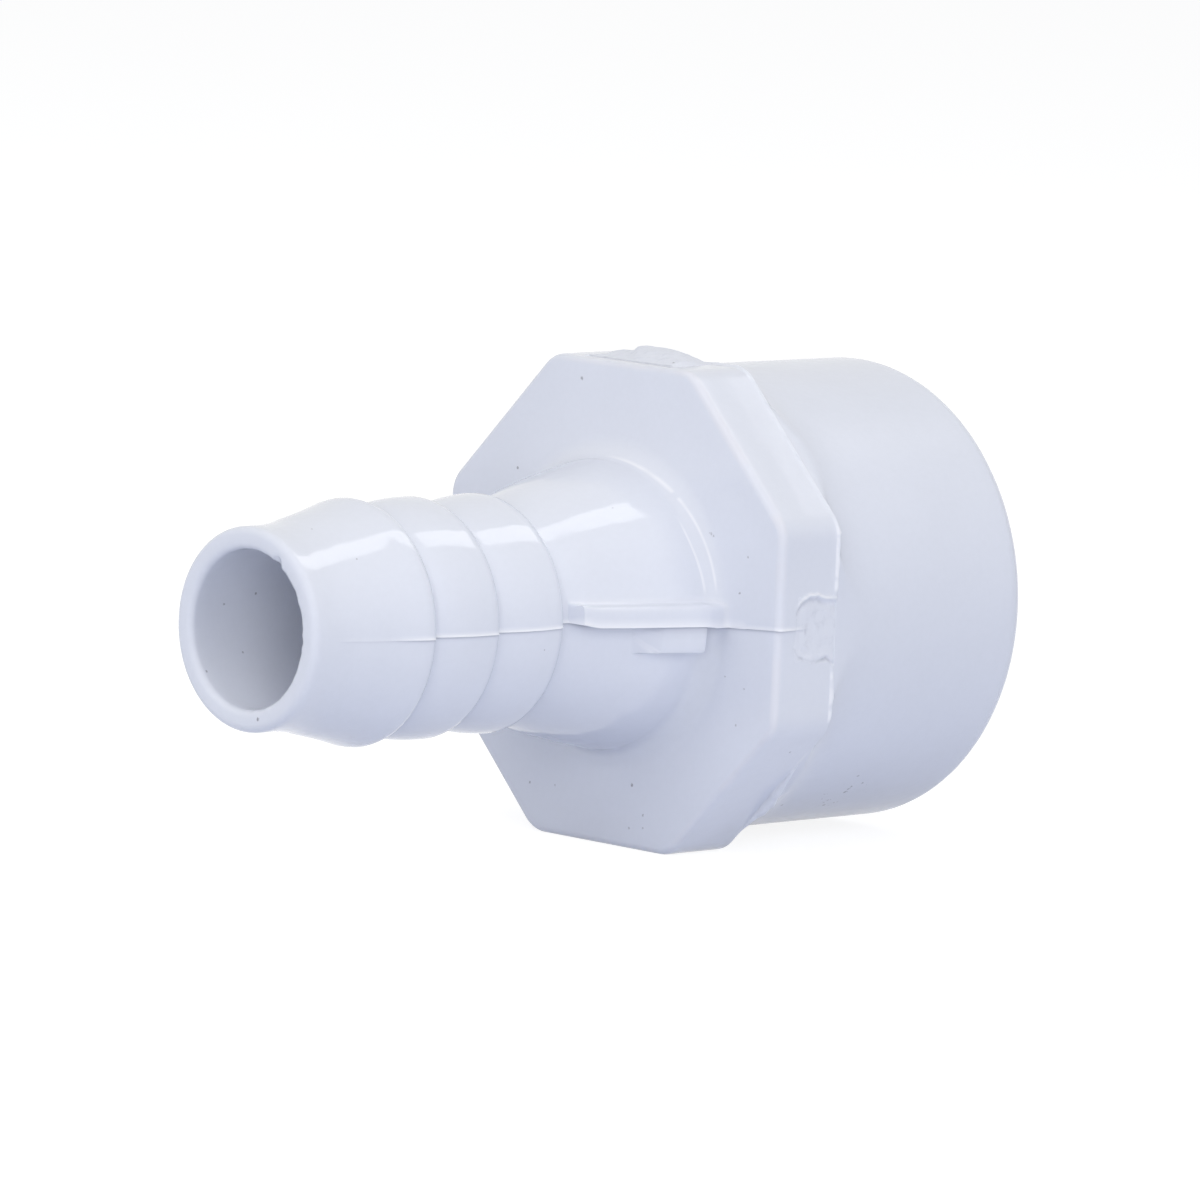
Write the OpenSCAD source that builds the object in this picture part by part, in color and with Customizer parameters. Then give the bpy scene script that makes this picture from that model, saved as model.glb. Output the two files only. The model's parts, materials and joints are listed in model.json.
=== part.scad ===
// PVC hose barb: a moulded adapter from a flexible hose to a rigid pipe.
// The axis lies along X. The hose tail points to -X and the pipe enters from +X.
// The origin is on the axis at the stop that the pipe meets, and the parting
// plane is Z = 0.

/* [Hose tail] */
// Diameter of the straight nose at the tip
nose_d = 12.2; // [11.6:0.1:12.6]
// Length of the straight nose
nose_len = 1.8; // [1.2:0.1:3]
// Radius of the nose's outer edge
nose_round = 0.5; // [0.2:0.05:0.7]
// Bore of the hose tail
hose_bore_d = 9.5; // [8.4:0.1:10]
// Width of the chamfer where the bore meets the tip
bore_chamfer = 0.45; // [0.2:0.05:0.6]
// Diameter over the first barb's crest
first_barb_d = 14.9; // [14:0.1:15.6]
// Diameter over the crests behind it
barb_d = 14.6; // [14:0.1:15.6]
// Diameter in the groove behind a crest
groove_d = 12.7; // [12.2:0.1:13.4]
// Distance from the tip to the first crest
first_crest = 8.3; // [7:0.1:9.5]
// Distance from one crest to the next
barb_pitch = 5.3; // [4.6:0.1:6]
// Number of barbs
barb_count = 3; // [1:1:4]
// Axial length of the rounded drop behind a crest
crest_drop = 0.6; // [0.4:0.05:1]

/* [Shoulder] */
// Length from the last crest to the flange
shoulder_len = 11.25; // [10:0.05:13]
// Diameter at the shoulder's foot, before its fillet
shoulder_d = 17.6; // [16.6:0.1:19]
// Radius of the fillet at the shoulder's foot
foot_fillet = 0.7; // [0.4:0.05:1.2]

/* [Flange] */
// Width across the two side flats
flange_w = 28.9; // [28:0.1:31]
// Height across the top and bottom flats
flange_h = 29.7; // [28:0.1:31]
// Thickness along the axis
flange_t = 4.95; // [4:0.05:6.5]
// Radius of the eight corners, seen along the axis
corner_r = 2.2; // [1:0.1:3.5]
// Radius of the rim round the front face
rim_round = 0.45; // [0.2:0.05:0.8]

/* [Socket] */
// Outside diameter of the socket
socket_d = 28.7; // [27.6:0.1:28.8]
// Length of the socket behind the flange
socket_len = 17.2; // [15:0.1:22]
// Radius of the socket's outer end edge
socket_round = 1.4; // [0.5:0.1:1.8]
// Bore that takes the pipe
pipe_bore_d = 21.4; // [20.6:0.1:22.4]
// Depth of the pipe bore
pipe_depth = 18.6; // [16:0.1:20]
// Width of the lead-in chamfer at the mouth
mouth_chamfer = 0.7; // [0.3:0.1:1.2]
// Diameter of the waterway where it opens into the socket
waterway_d = 14.6; // [12:0.1:16]
// Length of the taper from the waterway down to the hose bore
waterway_taper = 9.5; // [8:0.1:12]
// Length of the fillet behind the flange
back_fillet_len = 3.4; // [1:0.1:4.5]
// Height of the fillet behind the flange
back_fillet_rise = 1.1; // [0.5:0.1:1.4]

/* [Mould marks] */
// Height of the rib above the parting plane
rib_h = 1.2; // [0.8:0.1:2]
// How far the rib and the lug stand out of the shoulder
rib_out = 1.2; // [0.6:0.1:1.6]
// Distance from the last crest to the rib's end
rib_start = 0.7; // [0.5:0.1:2]
// Depth of the lug below the parting plane
lug_h = 1.45; // [1:0.05:2]
// Length of the lug's outer face along the axis
lug_len = 3; // [2:0.1:4]
// Angle of the lug's slanted end, away from a square end
lug_slant = 40; // [0:5:50]
// Distance from the lug to the flange
lug_gap = 1.9; // [1:0.1:3]
// Size of the gate stub on the top flat, across the axis
top_gate_w = 8.8; // [5:0.1:9]
// Size of the gate stub on the top flat, along the axis
top_gate_l = 3.8; // [2:0.1:3.8]
// Height of the gate stub on the top flat
top_gate_h = 0.85; // [0.2:0.05:1]
// Corner radius of the gate stub
top_gate_corner = 1.5; // [0.5:0.1:1.8]
// Height of the gate scar on the side flat
side_gate_h = 3.9; // [2.5:0.1:5]
// Size of the gate scar on the side flat, along the axis
side_gate_l = 3.7; // [2:0.1:3.8]
// How far the gate scar on the side flat stands out
side_gate_out = 0.2; // [0.1:0.05:0.3]
// Corner radius of the gate scar
side_gate_corner = 0.6; // [0.3:0.1:0.9]
// Distance from the gate scar to the flange's back face
side_gate_gap = 0.1; // [0.05:0.05:0.4]

/* [Hidden] */
// Facets of the round surfaces
$fn = 96;
// Steps in a small arc
ARC_STEPS = 6;
// Steps along the front of one barb, and along the shoulder
BARB_STEPS = 8;
// Reach of a tool past the surface that it cuts or joins
over = 0.5;
// Step between flats that would otherwise lie in one plane
seam = 0.05;
PVC_WHITE = [0.90, 0.92, 0.97];

mouth_x = pipe_depth;
flange_back = mouth_x - socket_len;
flange_front = flange_back - flange_t;
flange_mid = (flange_front + flange_back) / 2;
last_crest = flange_front - shoulder_len;
tip_x = last_crest - (barb_count - 1) * barb_pitch - first_crest;
stop_x = mouth_x - pipe_depth;
valley_x = last_crest + crest_drop;
foot_x = flange_front - foot_fillet;

nose_r = nose_d / 2;
groove_r = groove_d / 2;
shoulder_r = shoulder_d / 2;
socket_r = socket_d / 2;
hose_bore_r = hose_bore_d / 2;
pipe_bore_r = pipe_bore_d / 2;
waterway_r = waterway_d / 2;

// Outlines

// Points of an arc round a centre.
function arc(centre, radius, from, to, steps = ARC_STEPS) = [
    for (i = [0:steps])
        let (a = from + (to - from) * i / steps)
        [centre[0] + radius * cos(a), centre[1] + radius * sin(a)]
];

function crest_x(i) = tip_x + first_crest + i * barb_pitch;
function crest_r(i) = (i == 0 ? first_barb_d : barb_d) / 2;

// The first barb widens almost evenly from the nose. The others swell out of
// the groove in front of them.
function barb_front(i) =
    let (first = i == 0,
         x0 = first ? tip_x + nose_len : crest_x(i - 1) + crest_drop,
         r0 = first ? nose_r : groove_r)
    [for (k = [1:BARB_STEPS])
        let (t = k / BARB_STEPS, swell = first ? pow(t, 1.25) : sin(90 * t))
        [r0 + (crest_r(i) - r0) * swell, x0 + (crest_x(i) - x0) * t]];

// The back of a barb drops into the groove as a quarter of an ellipse.
function barb_back(i) = [
    for (k = [1:ARC_STEPS])
        let (a = 90 * k / ARC_STEPS)
        [groove_r + (crest_r(i) - groove_r) * cos(a), crest_x(i) + crest_drop * sin(a)]
];

// The shoulder swells out of the last groove and levels off towards its foot.
function shoulder_at(x) =
    let (t = (x - valley_x) / (foot_x - valley_x))
    groove_r + (shoulder_r - groove_r) * sin(90 * min(1, max(0, t)));

function shoulder_curve(gain = 0) = [
    for (k = [0:BARB_STEPS])
        let (x = valley_x + (foot_x - valley_x) * k / BARB_STEPS)
        [shoulder_at(x) + gain, x]
];

function tail_profile() = concat(
    [[0, tip_x]],
    arc([nose_r - nose_round, tip_x + nose_round], nose_round, -90, 0),
    [[nose_r, tip_x + nose_len]],
    [for (i = [0:barb_count - 1]) each concat(barb_front(i), barb_back(i))],
    [for (p = shoulder_curve()) if (p[1] > valley_x) p],
    arc([shoulder_r + foot_fillet, foot_x], foot_fillet, 180, 90),
    [[shoulder_r + foot_fillet, flange_front + over], [0, flange_front + over]]
);

function socket_profile() = concat(
    [[0, flange_back - over], [socket_r, flange_back - over]],
    arc([socket_r - socket_round, mouth_x - socket_round], socket_round, 0, 90),
    [[0, mouth_x]]
);

// Concave fillet behind the flange, a quarter of an ellipse.
function back_fillet_profile() = concat(
    [[socket_r - over, flange_back - over],
     [socket_r + back_fillet_rise, flange_back - over]],
    [for (k = [0:ARC_STEPS])
        let (a = 90 * k / ARC_STEPS)
        [socket_r + back_fillet_rise * (1 - sin(a)),
         flange_back + back_fillet_len * (1 - cos(a))]],
    [[socket_r - over, flange_back + back_fillet_len]]
);

// The waterway: lead-in chamfer, pipe bore, stop, taper, hose bore, tip chamfer.
function waterway_profile() = [
    [0, tip_x - over],
    [hose_bore_r + bore_chamfer + over, tip_x - over],
    [hose_bore_r, tip_x + bore_chamfer],
    [hose_bore_r, stop_x - waterway_taper],
    [waterway_r, stop_x],
    [pipe_bore_r, stop_x],
    [pipe_bore_r, mouth_x - mouth_chamfer],
    [pipe_bore_r + mouth_chamfer + over, mouth_x + over],
    [0, mouth_x + over]
];

// One corner of the flange's octagon, seen along the axis.
function octagon_corner(i, inset) =
    let (short = tan(22.5),
         p = [[1, short], [short, 1], [-short, 1], [-1, short],
              [-1, -short], [-short, -1], [short, -1], [1, -short]][i % 8])
    [p[0] * (flange_w / 2 - inset), p[1] * (flange_h / 2 - inset)];

// The same corner rounded, by an arc that touches both of its flats.
function rounded_corner(i, inset) =
    let (here = octagon_corner(i, inset),
         before = octagon_corner(i + 7, inset) - here,
         after = octagon_corner(i + 1, inset) - here,
         u = before / norm(before),
         v = after / norm(after),
         half = acos(u * v) / 2,
         inward = (u + v) / norm(u + v),
         aim = atan2(-inward[1], -inward[0]))
    arc(here + inward * corner_r / sin(half), corner_r, aim - 90 + half, aim + 90 - half);

function octagon(inset = 0) = [for (i = [0:7]) each rounded_corner(i, inset)];

// Section of the flange along the axis, with the rim of its front face rounded.
function rim_section(across) =
    let (half = across / 2, front = flange_front + rim_round)
    concat(
        arc([front, half - rim_round], rim_round, 180, 90),
        [[flange_back, half], [flange_back, -half]],
        arc([front, rim_round - half], rim_round, -90, -180)
    );

// Solids

// A profile is a list of points [radius, x], turned about the X axis.
module turned(profile) {
    rotate([0, 90, 0]) rotate_extrude() polygon(profile);
}

// A prism on the octagon, from one place on the axis to another.
module octagon_prism(from, to, inset = 0) {
    translate([from, 0, 0]) rotate([90, 0, 90])
        linear_extrude(to - from) polygon(octagon(inset));
}

// A slab with the rim's section, turned so that it forms one pair of flats.
module rim_slab(turn, across) {
    rotate([turn, 0, 0]) linear_extrude(2 * (flange_w + flange_h), center = true)
        polygon(rim_section(across));
}

module flange() {
    slant = atan2(flange_w, flange_h);
    slanted_across = flange_w * flange_h * (1 + tan(22.5)) / norm([flange_w, flange_h]);
    intersection() {
        octagon_prism(flange_front, flange_back);
        rim_slab(0, flange_w);
        rim_slab(90, flange_h);
        rim_slab(slant, slanted_across);
        rim_slab(-slant, slanted_across);
    }
}

module back_fillet() {
    intersection() {
        turned(back_fillet_profile());
        octagon_prism(flange_back - over, flange_back + back_fillet_len + over, seam);
    }
}

// The shoulder grown by the height of the rib, to cut the rib and the lug from.
module grown_shoulder() {
    turned(concat([[0, valley_x]], shoulder_curve(rib_out),
                  [[shoulder_r + rib_out, flange_front + over], [0, flange_front + over]]));
}

// The rib stands on the parting plane and runs from the last barb to the flange.
module rib() {
    start = last_crest + rib_start;
    intersection() {
        grown_shoulder();
        translate([start, -shoulder_d, 0])
            cube([flange_front + over - start, shoulder_d - groove_r + over, rib_h]);
    }
}

// The lug hangs under the rib, with a slanted end towards the tip.
module lug() {
    back = flange_front - lug_gap;
    front = back - lug_len;
    reach = shoulder_at(front) + rib_out;
    run = tan(lug_slant);
    inner = groove_r - over;
    intersection() {
        grown_shoulder();
        translate([0, 0, -lug_h]) linear_extrude(lug_h + over / 2) polygon([
            [back, -inner],
            [back, -shoulder_r - rib_out - over],
            [front + over * run, -reach - over],
            [front - (reach - inner) * run, -inner]
        ]);
    }
}

// A pad with rounded corners, drawn on the plane Z = 0 and raised by its height.
module pad(across, along, corner, height) {
    x = along / 2 - corner;
    y = across / 2 - corner;
    linear_extrude(height) polygon(concat(
        arc([x, y], corner, 0, 90),
        arc([-x, y], corner, 90, 180),
        arc([-x, -y], corner, 180, 270),
        arc([x, -y], corner, 270, 360)
    ));
}

module top_gate() {
    translate([flange_mid, 0, flange_h / 2 - over])
        pad(top_gate_w, top_gate_l, top_gate_corner, top_gate_h + over);
}

module side_gate() {
    gate_x = flange_back - side_gate_gap - side_gate_l / 2;
    translate([gate_x, -flange_w / 2 + over, 0]) rotate([90, 0, 0])
        pad(side_gate_h, side_gate_l, side_gate_corner, side_gate_out + over);
}

module hose_barb_fitting() {
    color(PVC_WHITE) difference() {
        union() {
            turned(tail_profile());
            rib();
            lug();
            flange();
            back_fillet();
            turned(socket_profile());
            top_gate();
            side_gate();
        }
        turned(waterway_profile());
    }
}

hose_barb_fitting();
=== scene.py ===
"""A white PVC hose barb fitting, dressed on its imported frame.

The fitting is one moulding: a tail with three barbs, a flared shoulder, an octagonal
wrench flange and a plain socket. Its body is swept by Geometry Nodes from a list of
stations, each a place along the axis, and a list of columns, each a place round it.
The gate marks and burrs that the mould left are then worked into that mesh.
Sizes in the classes are in millimetres. Meshes are in metres, in the row frame.
"""

from __future__ import annotations

import json
import logging
import math
from collections.abc import Sequence
from dataclasses import dataclass, field
from enum import Enum

import bmesh
import bpy
import numpy as np
from mathutils import Matrix, Quaternion, Vector

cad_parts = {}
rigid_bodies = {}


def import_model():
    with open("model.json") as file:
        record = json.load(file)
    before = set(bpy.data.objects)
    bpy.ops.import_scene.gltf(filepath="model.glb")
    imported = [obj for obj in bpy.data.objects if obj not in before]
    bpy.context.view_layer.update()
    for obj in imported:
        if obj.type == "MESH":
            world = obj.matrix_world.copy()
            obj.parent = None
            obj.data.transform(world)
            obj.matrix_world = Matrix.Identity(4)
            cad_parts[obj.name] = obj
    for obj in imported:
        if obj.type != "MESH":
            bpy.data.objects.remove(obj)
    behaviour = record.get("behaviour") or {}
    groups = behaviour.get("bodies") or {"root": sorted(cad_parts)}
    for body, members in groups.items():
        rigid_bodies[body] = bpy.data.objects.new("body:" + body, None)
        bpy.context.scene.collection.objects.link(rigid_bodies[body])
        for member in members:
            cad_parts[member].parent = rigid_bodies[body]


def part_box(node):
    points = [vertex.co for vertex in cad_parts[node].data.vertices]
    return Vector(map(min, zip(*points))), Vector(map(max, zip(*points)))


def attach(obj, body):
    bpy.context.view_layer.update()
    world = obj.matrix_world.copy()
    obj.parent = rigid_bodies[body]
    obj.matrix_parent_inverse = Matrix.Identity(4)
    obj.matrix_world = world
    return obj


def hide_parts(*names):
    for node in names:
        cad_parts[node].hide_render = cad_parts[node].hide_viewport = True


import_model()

LOG = logging.getLogger("hose_barb")
MM = 0.001
WELD = 4e-7
NODE = "hose_barb_fitting"
BODY = "root"
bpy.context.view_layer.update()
TIP_X = float(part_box(NODE)[0][0]) / MM

Point = tuple[float, float]
Spot = tuple[float, float, float]
Rgba = tuple[float, float, float, float]
Sockets = dict[str, bpy.types.NodeSocket]


def srgb(red: float, green: float, blue: float) -> Rgba:
    """Gives the linear colour of an 8-bit display colour.

    Args:
        red: Red, 0 to 255.
        green: Green, 0 to 255.
        blue: Blue, 0 to 255.

    Returns:
        Linear red, green, blue and full alpha.
    """
    linear = [
        c / 12.92 if c <= 0.04045 else ((c + 0.055) / 1.055) ** 2.4
        for c in (red / 255, green / 255, blue / 255)
    ]
    return (linear[0], linear[1], linear[2], 1.0)


def smooth_step(value: np.ndarray | float, low: float, high: float) -> np.ndarray:
    """Rises from 0 at low to 1 at high, level at both ends.

    Args:
        value: Where to look.
        low: Where the rise starts.
        high: Where the rise ends. It may lie below low, for a fall.

    Returns:
        The height of the rise, 0 to 1.
    """
    t = np.clip((np.asarray(value, float) - low) / (high - low), 0.0, 1.0)
    return t * t * (3.0 - 2.0 * t)


def through(points: Sequence[Point], at: Sequence[float]) -> list[Point]:
    """Follows a curve through points without overshoot.

    Args:
        points: Pairs of place and height, in order of place.
        at: Places to look at.

    Returns:
        A pair of place and height for each place.
    """
    xs = np.array([p[0] for p in points], float)
    ys = np.array([p[1] for p in points], float)
    run = np.diff(xs)
    slope = np.diff(ys) / run
    tangent = np.zeros_like(xs)
    tangent[0], tangent[-1] = slope[0], slope[-1]
    for i in range(1, len(xs) - 1):
        if slope[i - 1] * slope[i] > 0:
            a, b = 2 * run[i] + run[i - 1], run[i] + 2 * run[i - 1]
            tangent[i] = (a + b) / (a / slope[i - 1] + b / slope[i])
    out = []
    for x in at:
        i = int(np.clip(np.searchsorted(xs, x) - 1, 0, len(run) - 1))
        t = (x - xs[i]) / run[i]
        y = (
            (1 + 2 * t) * (1 - t) ** 2 * ys[i]
            + t * (1 - t) ** 2 * run[i] * tangent[i]
            + t * t * (3 - 2 * t) * ys[i + 1]
            + t * t * (t - 1) * run[i] * tangent[i + 1]
        )
        out.append((float(x), float(y)))
    return out


def arc(centre: Point, radius: Point, start: float, end: float, steps: int) -> list[Point]:
    """Gives points on an arc of an ellipse.

    Args:
        centre: Its centre.
        radius: Its two radii.
        start: First angle, in degrees.
        end: Last angle, in degrees.
        steps: Number of steps.

    Returns:
        The points, one more than the steps.
    """
    turns = [math.radians(start + (end - start) * i / steps) for i in range(steps + 1)]
    return [
        (centre[0] + radius[0] * math.cos(a), centre[1] + radius[1] * math.sin(a))
        for a in turns
    ]


class Lumps:
    """Smooth random heights over a plane, always the same for one seed."""

    def __init__(self, seed: int, size: float) -> None:
        """Draws the lattice.

        Args:
            seed: Seed of the heights.
            size: Distance between two lattice points, in millimetres.
        """
        self.size = size
        self.grid = np.random.default_rng(seed).uniform(-1.0, 1.0, (64, 64))

    def __call__(self, u: np.ndarray, v: np.ndarray) -> np.ndarray:
        """Looks up the heights.

        Args:
            u: First coordinate, in millimetres.
            v: Second coordinate, in millimetres.

        Returns:
            Heights from -1 to 1.
        """
        a, b = np.asarray(u) / self.size + 32.0, np.asarray(v) / self.size + 32.0
        i, j = np.floor(a).astype(int), np.floor(b).astype(int)
        s, t = smooth_step(a - i, 0, 1), smooth_step(b - j, 0, 1)
        g = self.grid
        near = g[i % 64, j % 64] * (1 - s) + g[(i + 1) % 64, j % 64] * s
        far = g[i % 64, (j + 1) % 64] * (1 - s) + g[(i + 1) % 64, (j + 1) % 64] * s
        return near * (1 - t) + far * t


# Sizes of the moulding


@dataclass(frozen=True)
class TailSizes:
    """The hose tail, measured from its tip."""

    nose_r: float = 6.1
    nose_round: float = 0.5
    first_front: tuple[Point, ...] = (
        (1.8, 6.1), (3.0, 6.2), (4.5, 6.52), (6.0, 6.86), (7.0, 7.12), (8.0, 7.4), (8.3, 7.45)
    )
    second_front: tuple[Point, ...] = (
        (8.9, 6.35), (9.5, 6.68), (10.3, 6.95), (11.3, 7.15), (12.5, 7.27), (13.6, 7.3)
    )
    third_front: tuple[Point, ...] = (
        (14.2, 6.35), (14.8, 6.6), (15.7, 6.84), (16.7, 7.04), (17.8, 7.2), (18.9, 7.28)
    )
    drop: float = 0.6
    groove_r: float = 6.35
    bore_r: float = 4.75
    bore_edge: float = 0.45


@dataclass(frozen=True)
class ShoulderSizes:
    """The flared shoulder between the last barb and the flange."""

    curve: tuple[Point, ...] = (
        (19.5, 6.35), (20.5, 6.66), (22.0, 7.16), (23.5, 7.64), (25.0, 8.05),
        (26.5, 8.41), (28.0, 8.73), (28.75, 8.88)
    )
    foot: float = 1.4


@dataclass(frozen=True)
class FlangeSizes:
    """The octagonal flange."""

    front: float = 30.15
    back: float = 35.1
    half_w: float = 14.45
    half_h: float = 14.85
    corner_r: float = 2.2
    rim: float = 0.45


@dataclass(frozen=True)
class SocketSizes:
    """The plain socket and the way through it."""

    r: float = 14.35
    root_rise: float = 1.0
    root_len: float = 3.4
    end: float = 52.3
    end_round: float = 1.4
    bore_r: float = 10.7
    lead_in: float = 0.7
    stop: float = 33.7
    waterway_r: float = 7.3
    taper: float = 9.5


@dataclass(frozen=True)
class RibSizes:
    """The rib on the parting plane and the lug that hangs under it."""

    out: float = 1.2
    start: float = 20.2
    lug_root: float = 24.45
    lug_front: float = 25.65
    lug_back: float = 28.7


@dataclass(frozen=True)
class PartingSizes:
    """How the upper half of the mould stood off the lower one.

    The seam comes up faintly between tip_starts and tip_full, and to its whole height
    between starts and full. On the flange's flat it starts to die away dies_first
    behind the front, and it is gone dies_last before the back.
    """

    step_x: float = 0.09
    step_y: float = 0.12
    flash: float = 0.06
    tip_share: float = 0.2
    tip_starts: float = 1.8
    tip_full: float = 2.6
    starts: float = 5.2
    full: float = 8.2
    dies_first: float = 0.35
    dies_last: float = 1.9
    wave: tuple[Point, ...] = (
        (0.0, 0.0), (5.0, -0.16), (9.0, -0.16), (15.0, -0.16), (18.8, -0.07), (20.1, 0.12),
        (21.4, -0.1), (25.4, -0.14), (28.6, -0.2), (29.6, -0.3), (30.2, -0.26)
    )


@dataclass
class Station:
    """One place along the axis: a ring of the body.

    Along is the distance from the tip. Square tells how far the ring follows the
    flange's octagon, set in by inset. Outside is 0 in the bore. The rib and lug
    fields say where those stand at this ring, and how much of them there is. A ring
    that is held in stays within the octagon.
    """

    along: float
    r: float
    square: float = 0.0
    inset: float = 0.0
    outside: float = 1.0
    rib: Spot = (0.0, 0.0, 0.0)
    lug: Spot = (0.0, 0.0, 0.0)
    wave: float = 0.0
    step: float = 0.0
    flash: float = 0.0
    held_in: float = 0.0


@dataclass(frozen=True)
class Column:
    """One place round the axis: a line that runs through every ring.

    Spot and facing are the point and outward direction on the flange's octagon.
    A column by the parting plane keeps a level instead of an angle: plain and
    on_rib are its heights away from the rib and on it, and sway is how much of the
    parting line's wave it follows. The columns beyond share the turn that is left
    above last_level. The last three fields tint the seam: painted shadow below it,
    a pale line on it that is partly whitened flash and partly painted highlight,
    and a painted highlight along the lug's lower edge.
    """

    spot: Point
    facing: Point
    level: bool = False
    plain: float = 0.0
    on_rib: float = 0.0
    rib_share: float = 0.0
    lug_share: float = 0.0
    upper: float = 0.0
    flash: float = 0.0
    seam_shade: float = 0.0
    glow: float = 0.0
    lug_edge_highlight: float = 0.0
    sway: float = 0.0
    last_level: float = 0.4


class Side(Enum):
    """The two sides where the mould parted."""

    RIB = -1
    PLAIN = 1


class NodeDesk:
    """Lays out a node tree with short calls."""

    def __init__(self, tree: bpy.types.NodeTree) -> None:
        """Takes an empty tree.

        Args:
            tree: The tree to fill.
        """
        self.tree = tree

    def add(self, kind: str, **settings: object) -> bpy.types.Node:
        """Adds a node.

        Args:
            kind: The node's type name.
            **settings: Properties to set on it.

        Returns:
            The node.
        """
        node = self.tree.nodes.new(kind)
        node.location = (180 * (len(self.tree.nodes) % 24), -220 * (len(self.tree.nodes) // 24))
        for name, value in settings.items():
            setattr(node, name, value)
        return node

    def feed(self, node: bpy.types.Node, **inputs: object) -> bpy.types.Node:
        """Fills inputs by name or, written as _0 and so on, by number.

        Args:
            node: The node.
            **inputs: A socket to link from, or a value to set.

        Returns:
            The same node.
        """
        for name, value in inputs.items():
            key = int(name[1:]) if name[0] == "_" else name.replace("__", " ")
            socket = node.inputs[key]
            if isinstance(value, bpy.types.NodeSocket):
                self.tree.links.new(value, socket)
            else:
                socket.default_value = value
        return node

    def math(self, operation: str, *values: object, clamp: bool = False) -> bpy.types.NodeSocket:
        """Adds a Math node.

        Args:
            operation: What it does.
            *values: Its inputs, in order.
            clamp: Whether the result stays within 0 and 1.

        Returns:
            Its output.
        """
        node = self.add("ShaderNodeMath", operation=operation, use_clamp=clamp)
        self.feed(node, **{f"_{i}": v for i, v in enumerate(values)})
        return node.outputs[0]

    def vector(self, operation: str, *values: object) -> bpy.types.NodeSocket:
        """Adds a Vector Math node.

        Args:
            operation: What it does.
            *values: Its inputs, in order. For SCALE, the second is the factor.

        Returns:
            Its output.
        """
        node = self.add("ShaderNodeVectorMath", operation=operation)
        if operation == "SCALE":
            self.feed(node, _0=values[0], Scale=values[1])
        else:
            self.feed(node, **{f"_{i}": v for i, v in enumerate(values)})
        scalar = operation in ("LENGTH", "DOT_PRODUCT", "DISTANCE")
        return node.outputs["Value" if scalar else "Vector"]

    def split(self, vector: bpy.types.NodeSocket) -> list[bpy.types.NodeSocket]:
        """Gives the three parts of a vector."""
        return list(self.feed(self.add("ShaderNodeSeparateXYZ"), _0=vector).outputs)

    def join(self, x: object, y: object, z: object) -> bpy.types.NodeSocket:
        """Makes a vector of three numbers."""
        return self.feed(self.add("ShaderNodeCombineXYZ"), _0=x, _1=y, _2=z).outputs[0]

    def blend(self, factor: object, a: object, b: object) -> bpy.types.NodeSocket:
        """Mixes two numbers: a at factor 0, b at factor 1."""
        return self.math("MULTIPLY_ADD", factor, self.math("SUBTRACT", b, a), a)

    def ramp(
        self, value: object, low: float, high: float, out_low: float = 0.0, out_high: float = 1.0
    ) -> bpy.types.NodeSocket:
        """Maps a value smoothly from one range to another.

        Args:
            value: The value.
            low: Start of its range.
            high: End of its range.
            out_low: Result at low.
            out_high: Result at high.

        Returns:
            The mapped value.
        """
        node = self.add("ShaderNodeMapRange", interpolation_type="SMOOTHSTEP")
        self.feed(node, _0=value, _1=low, _2=high, _3=out_low, _4=out_high)
        return node.outputs[0]


# The body


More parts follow.
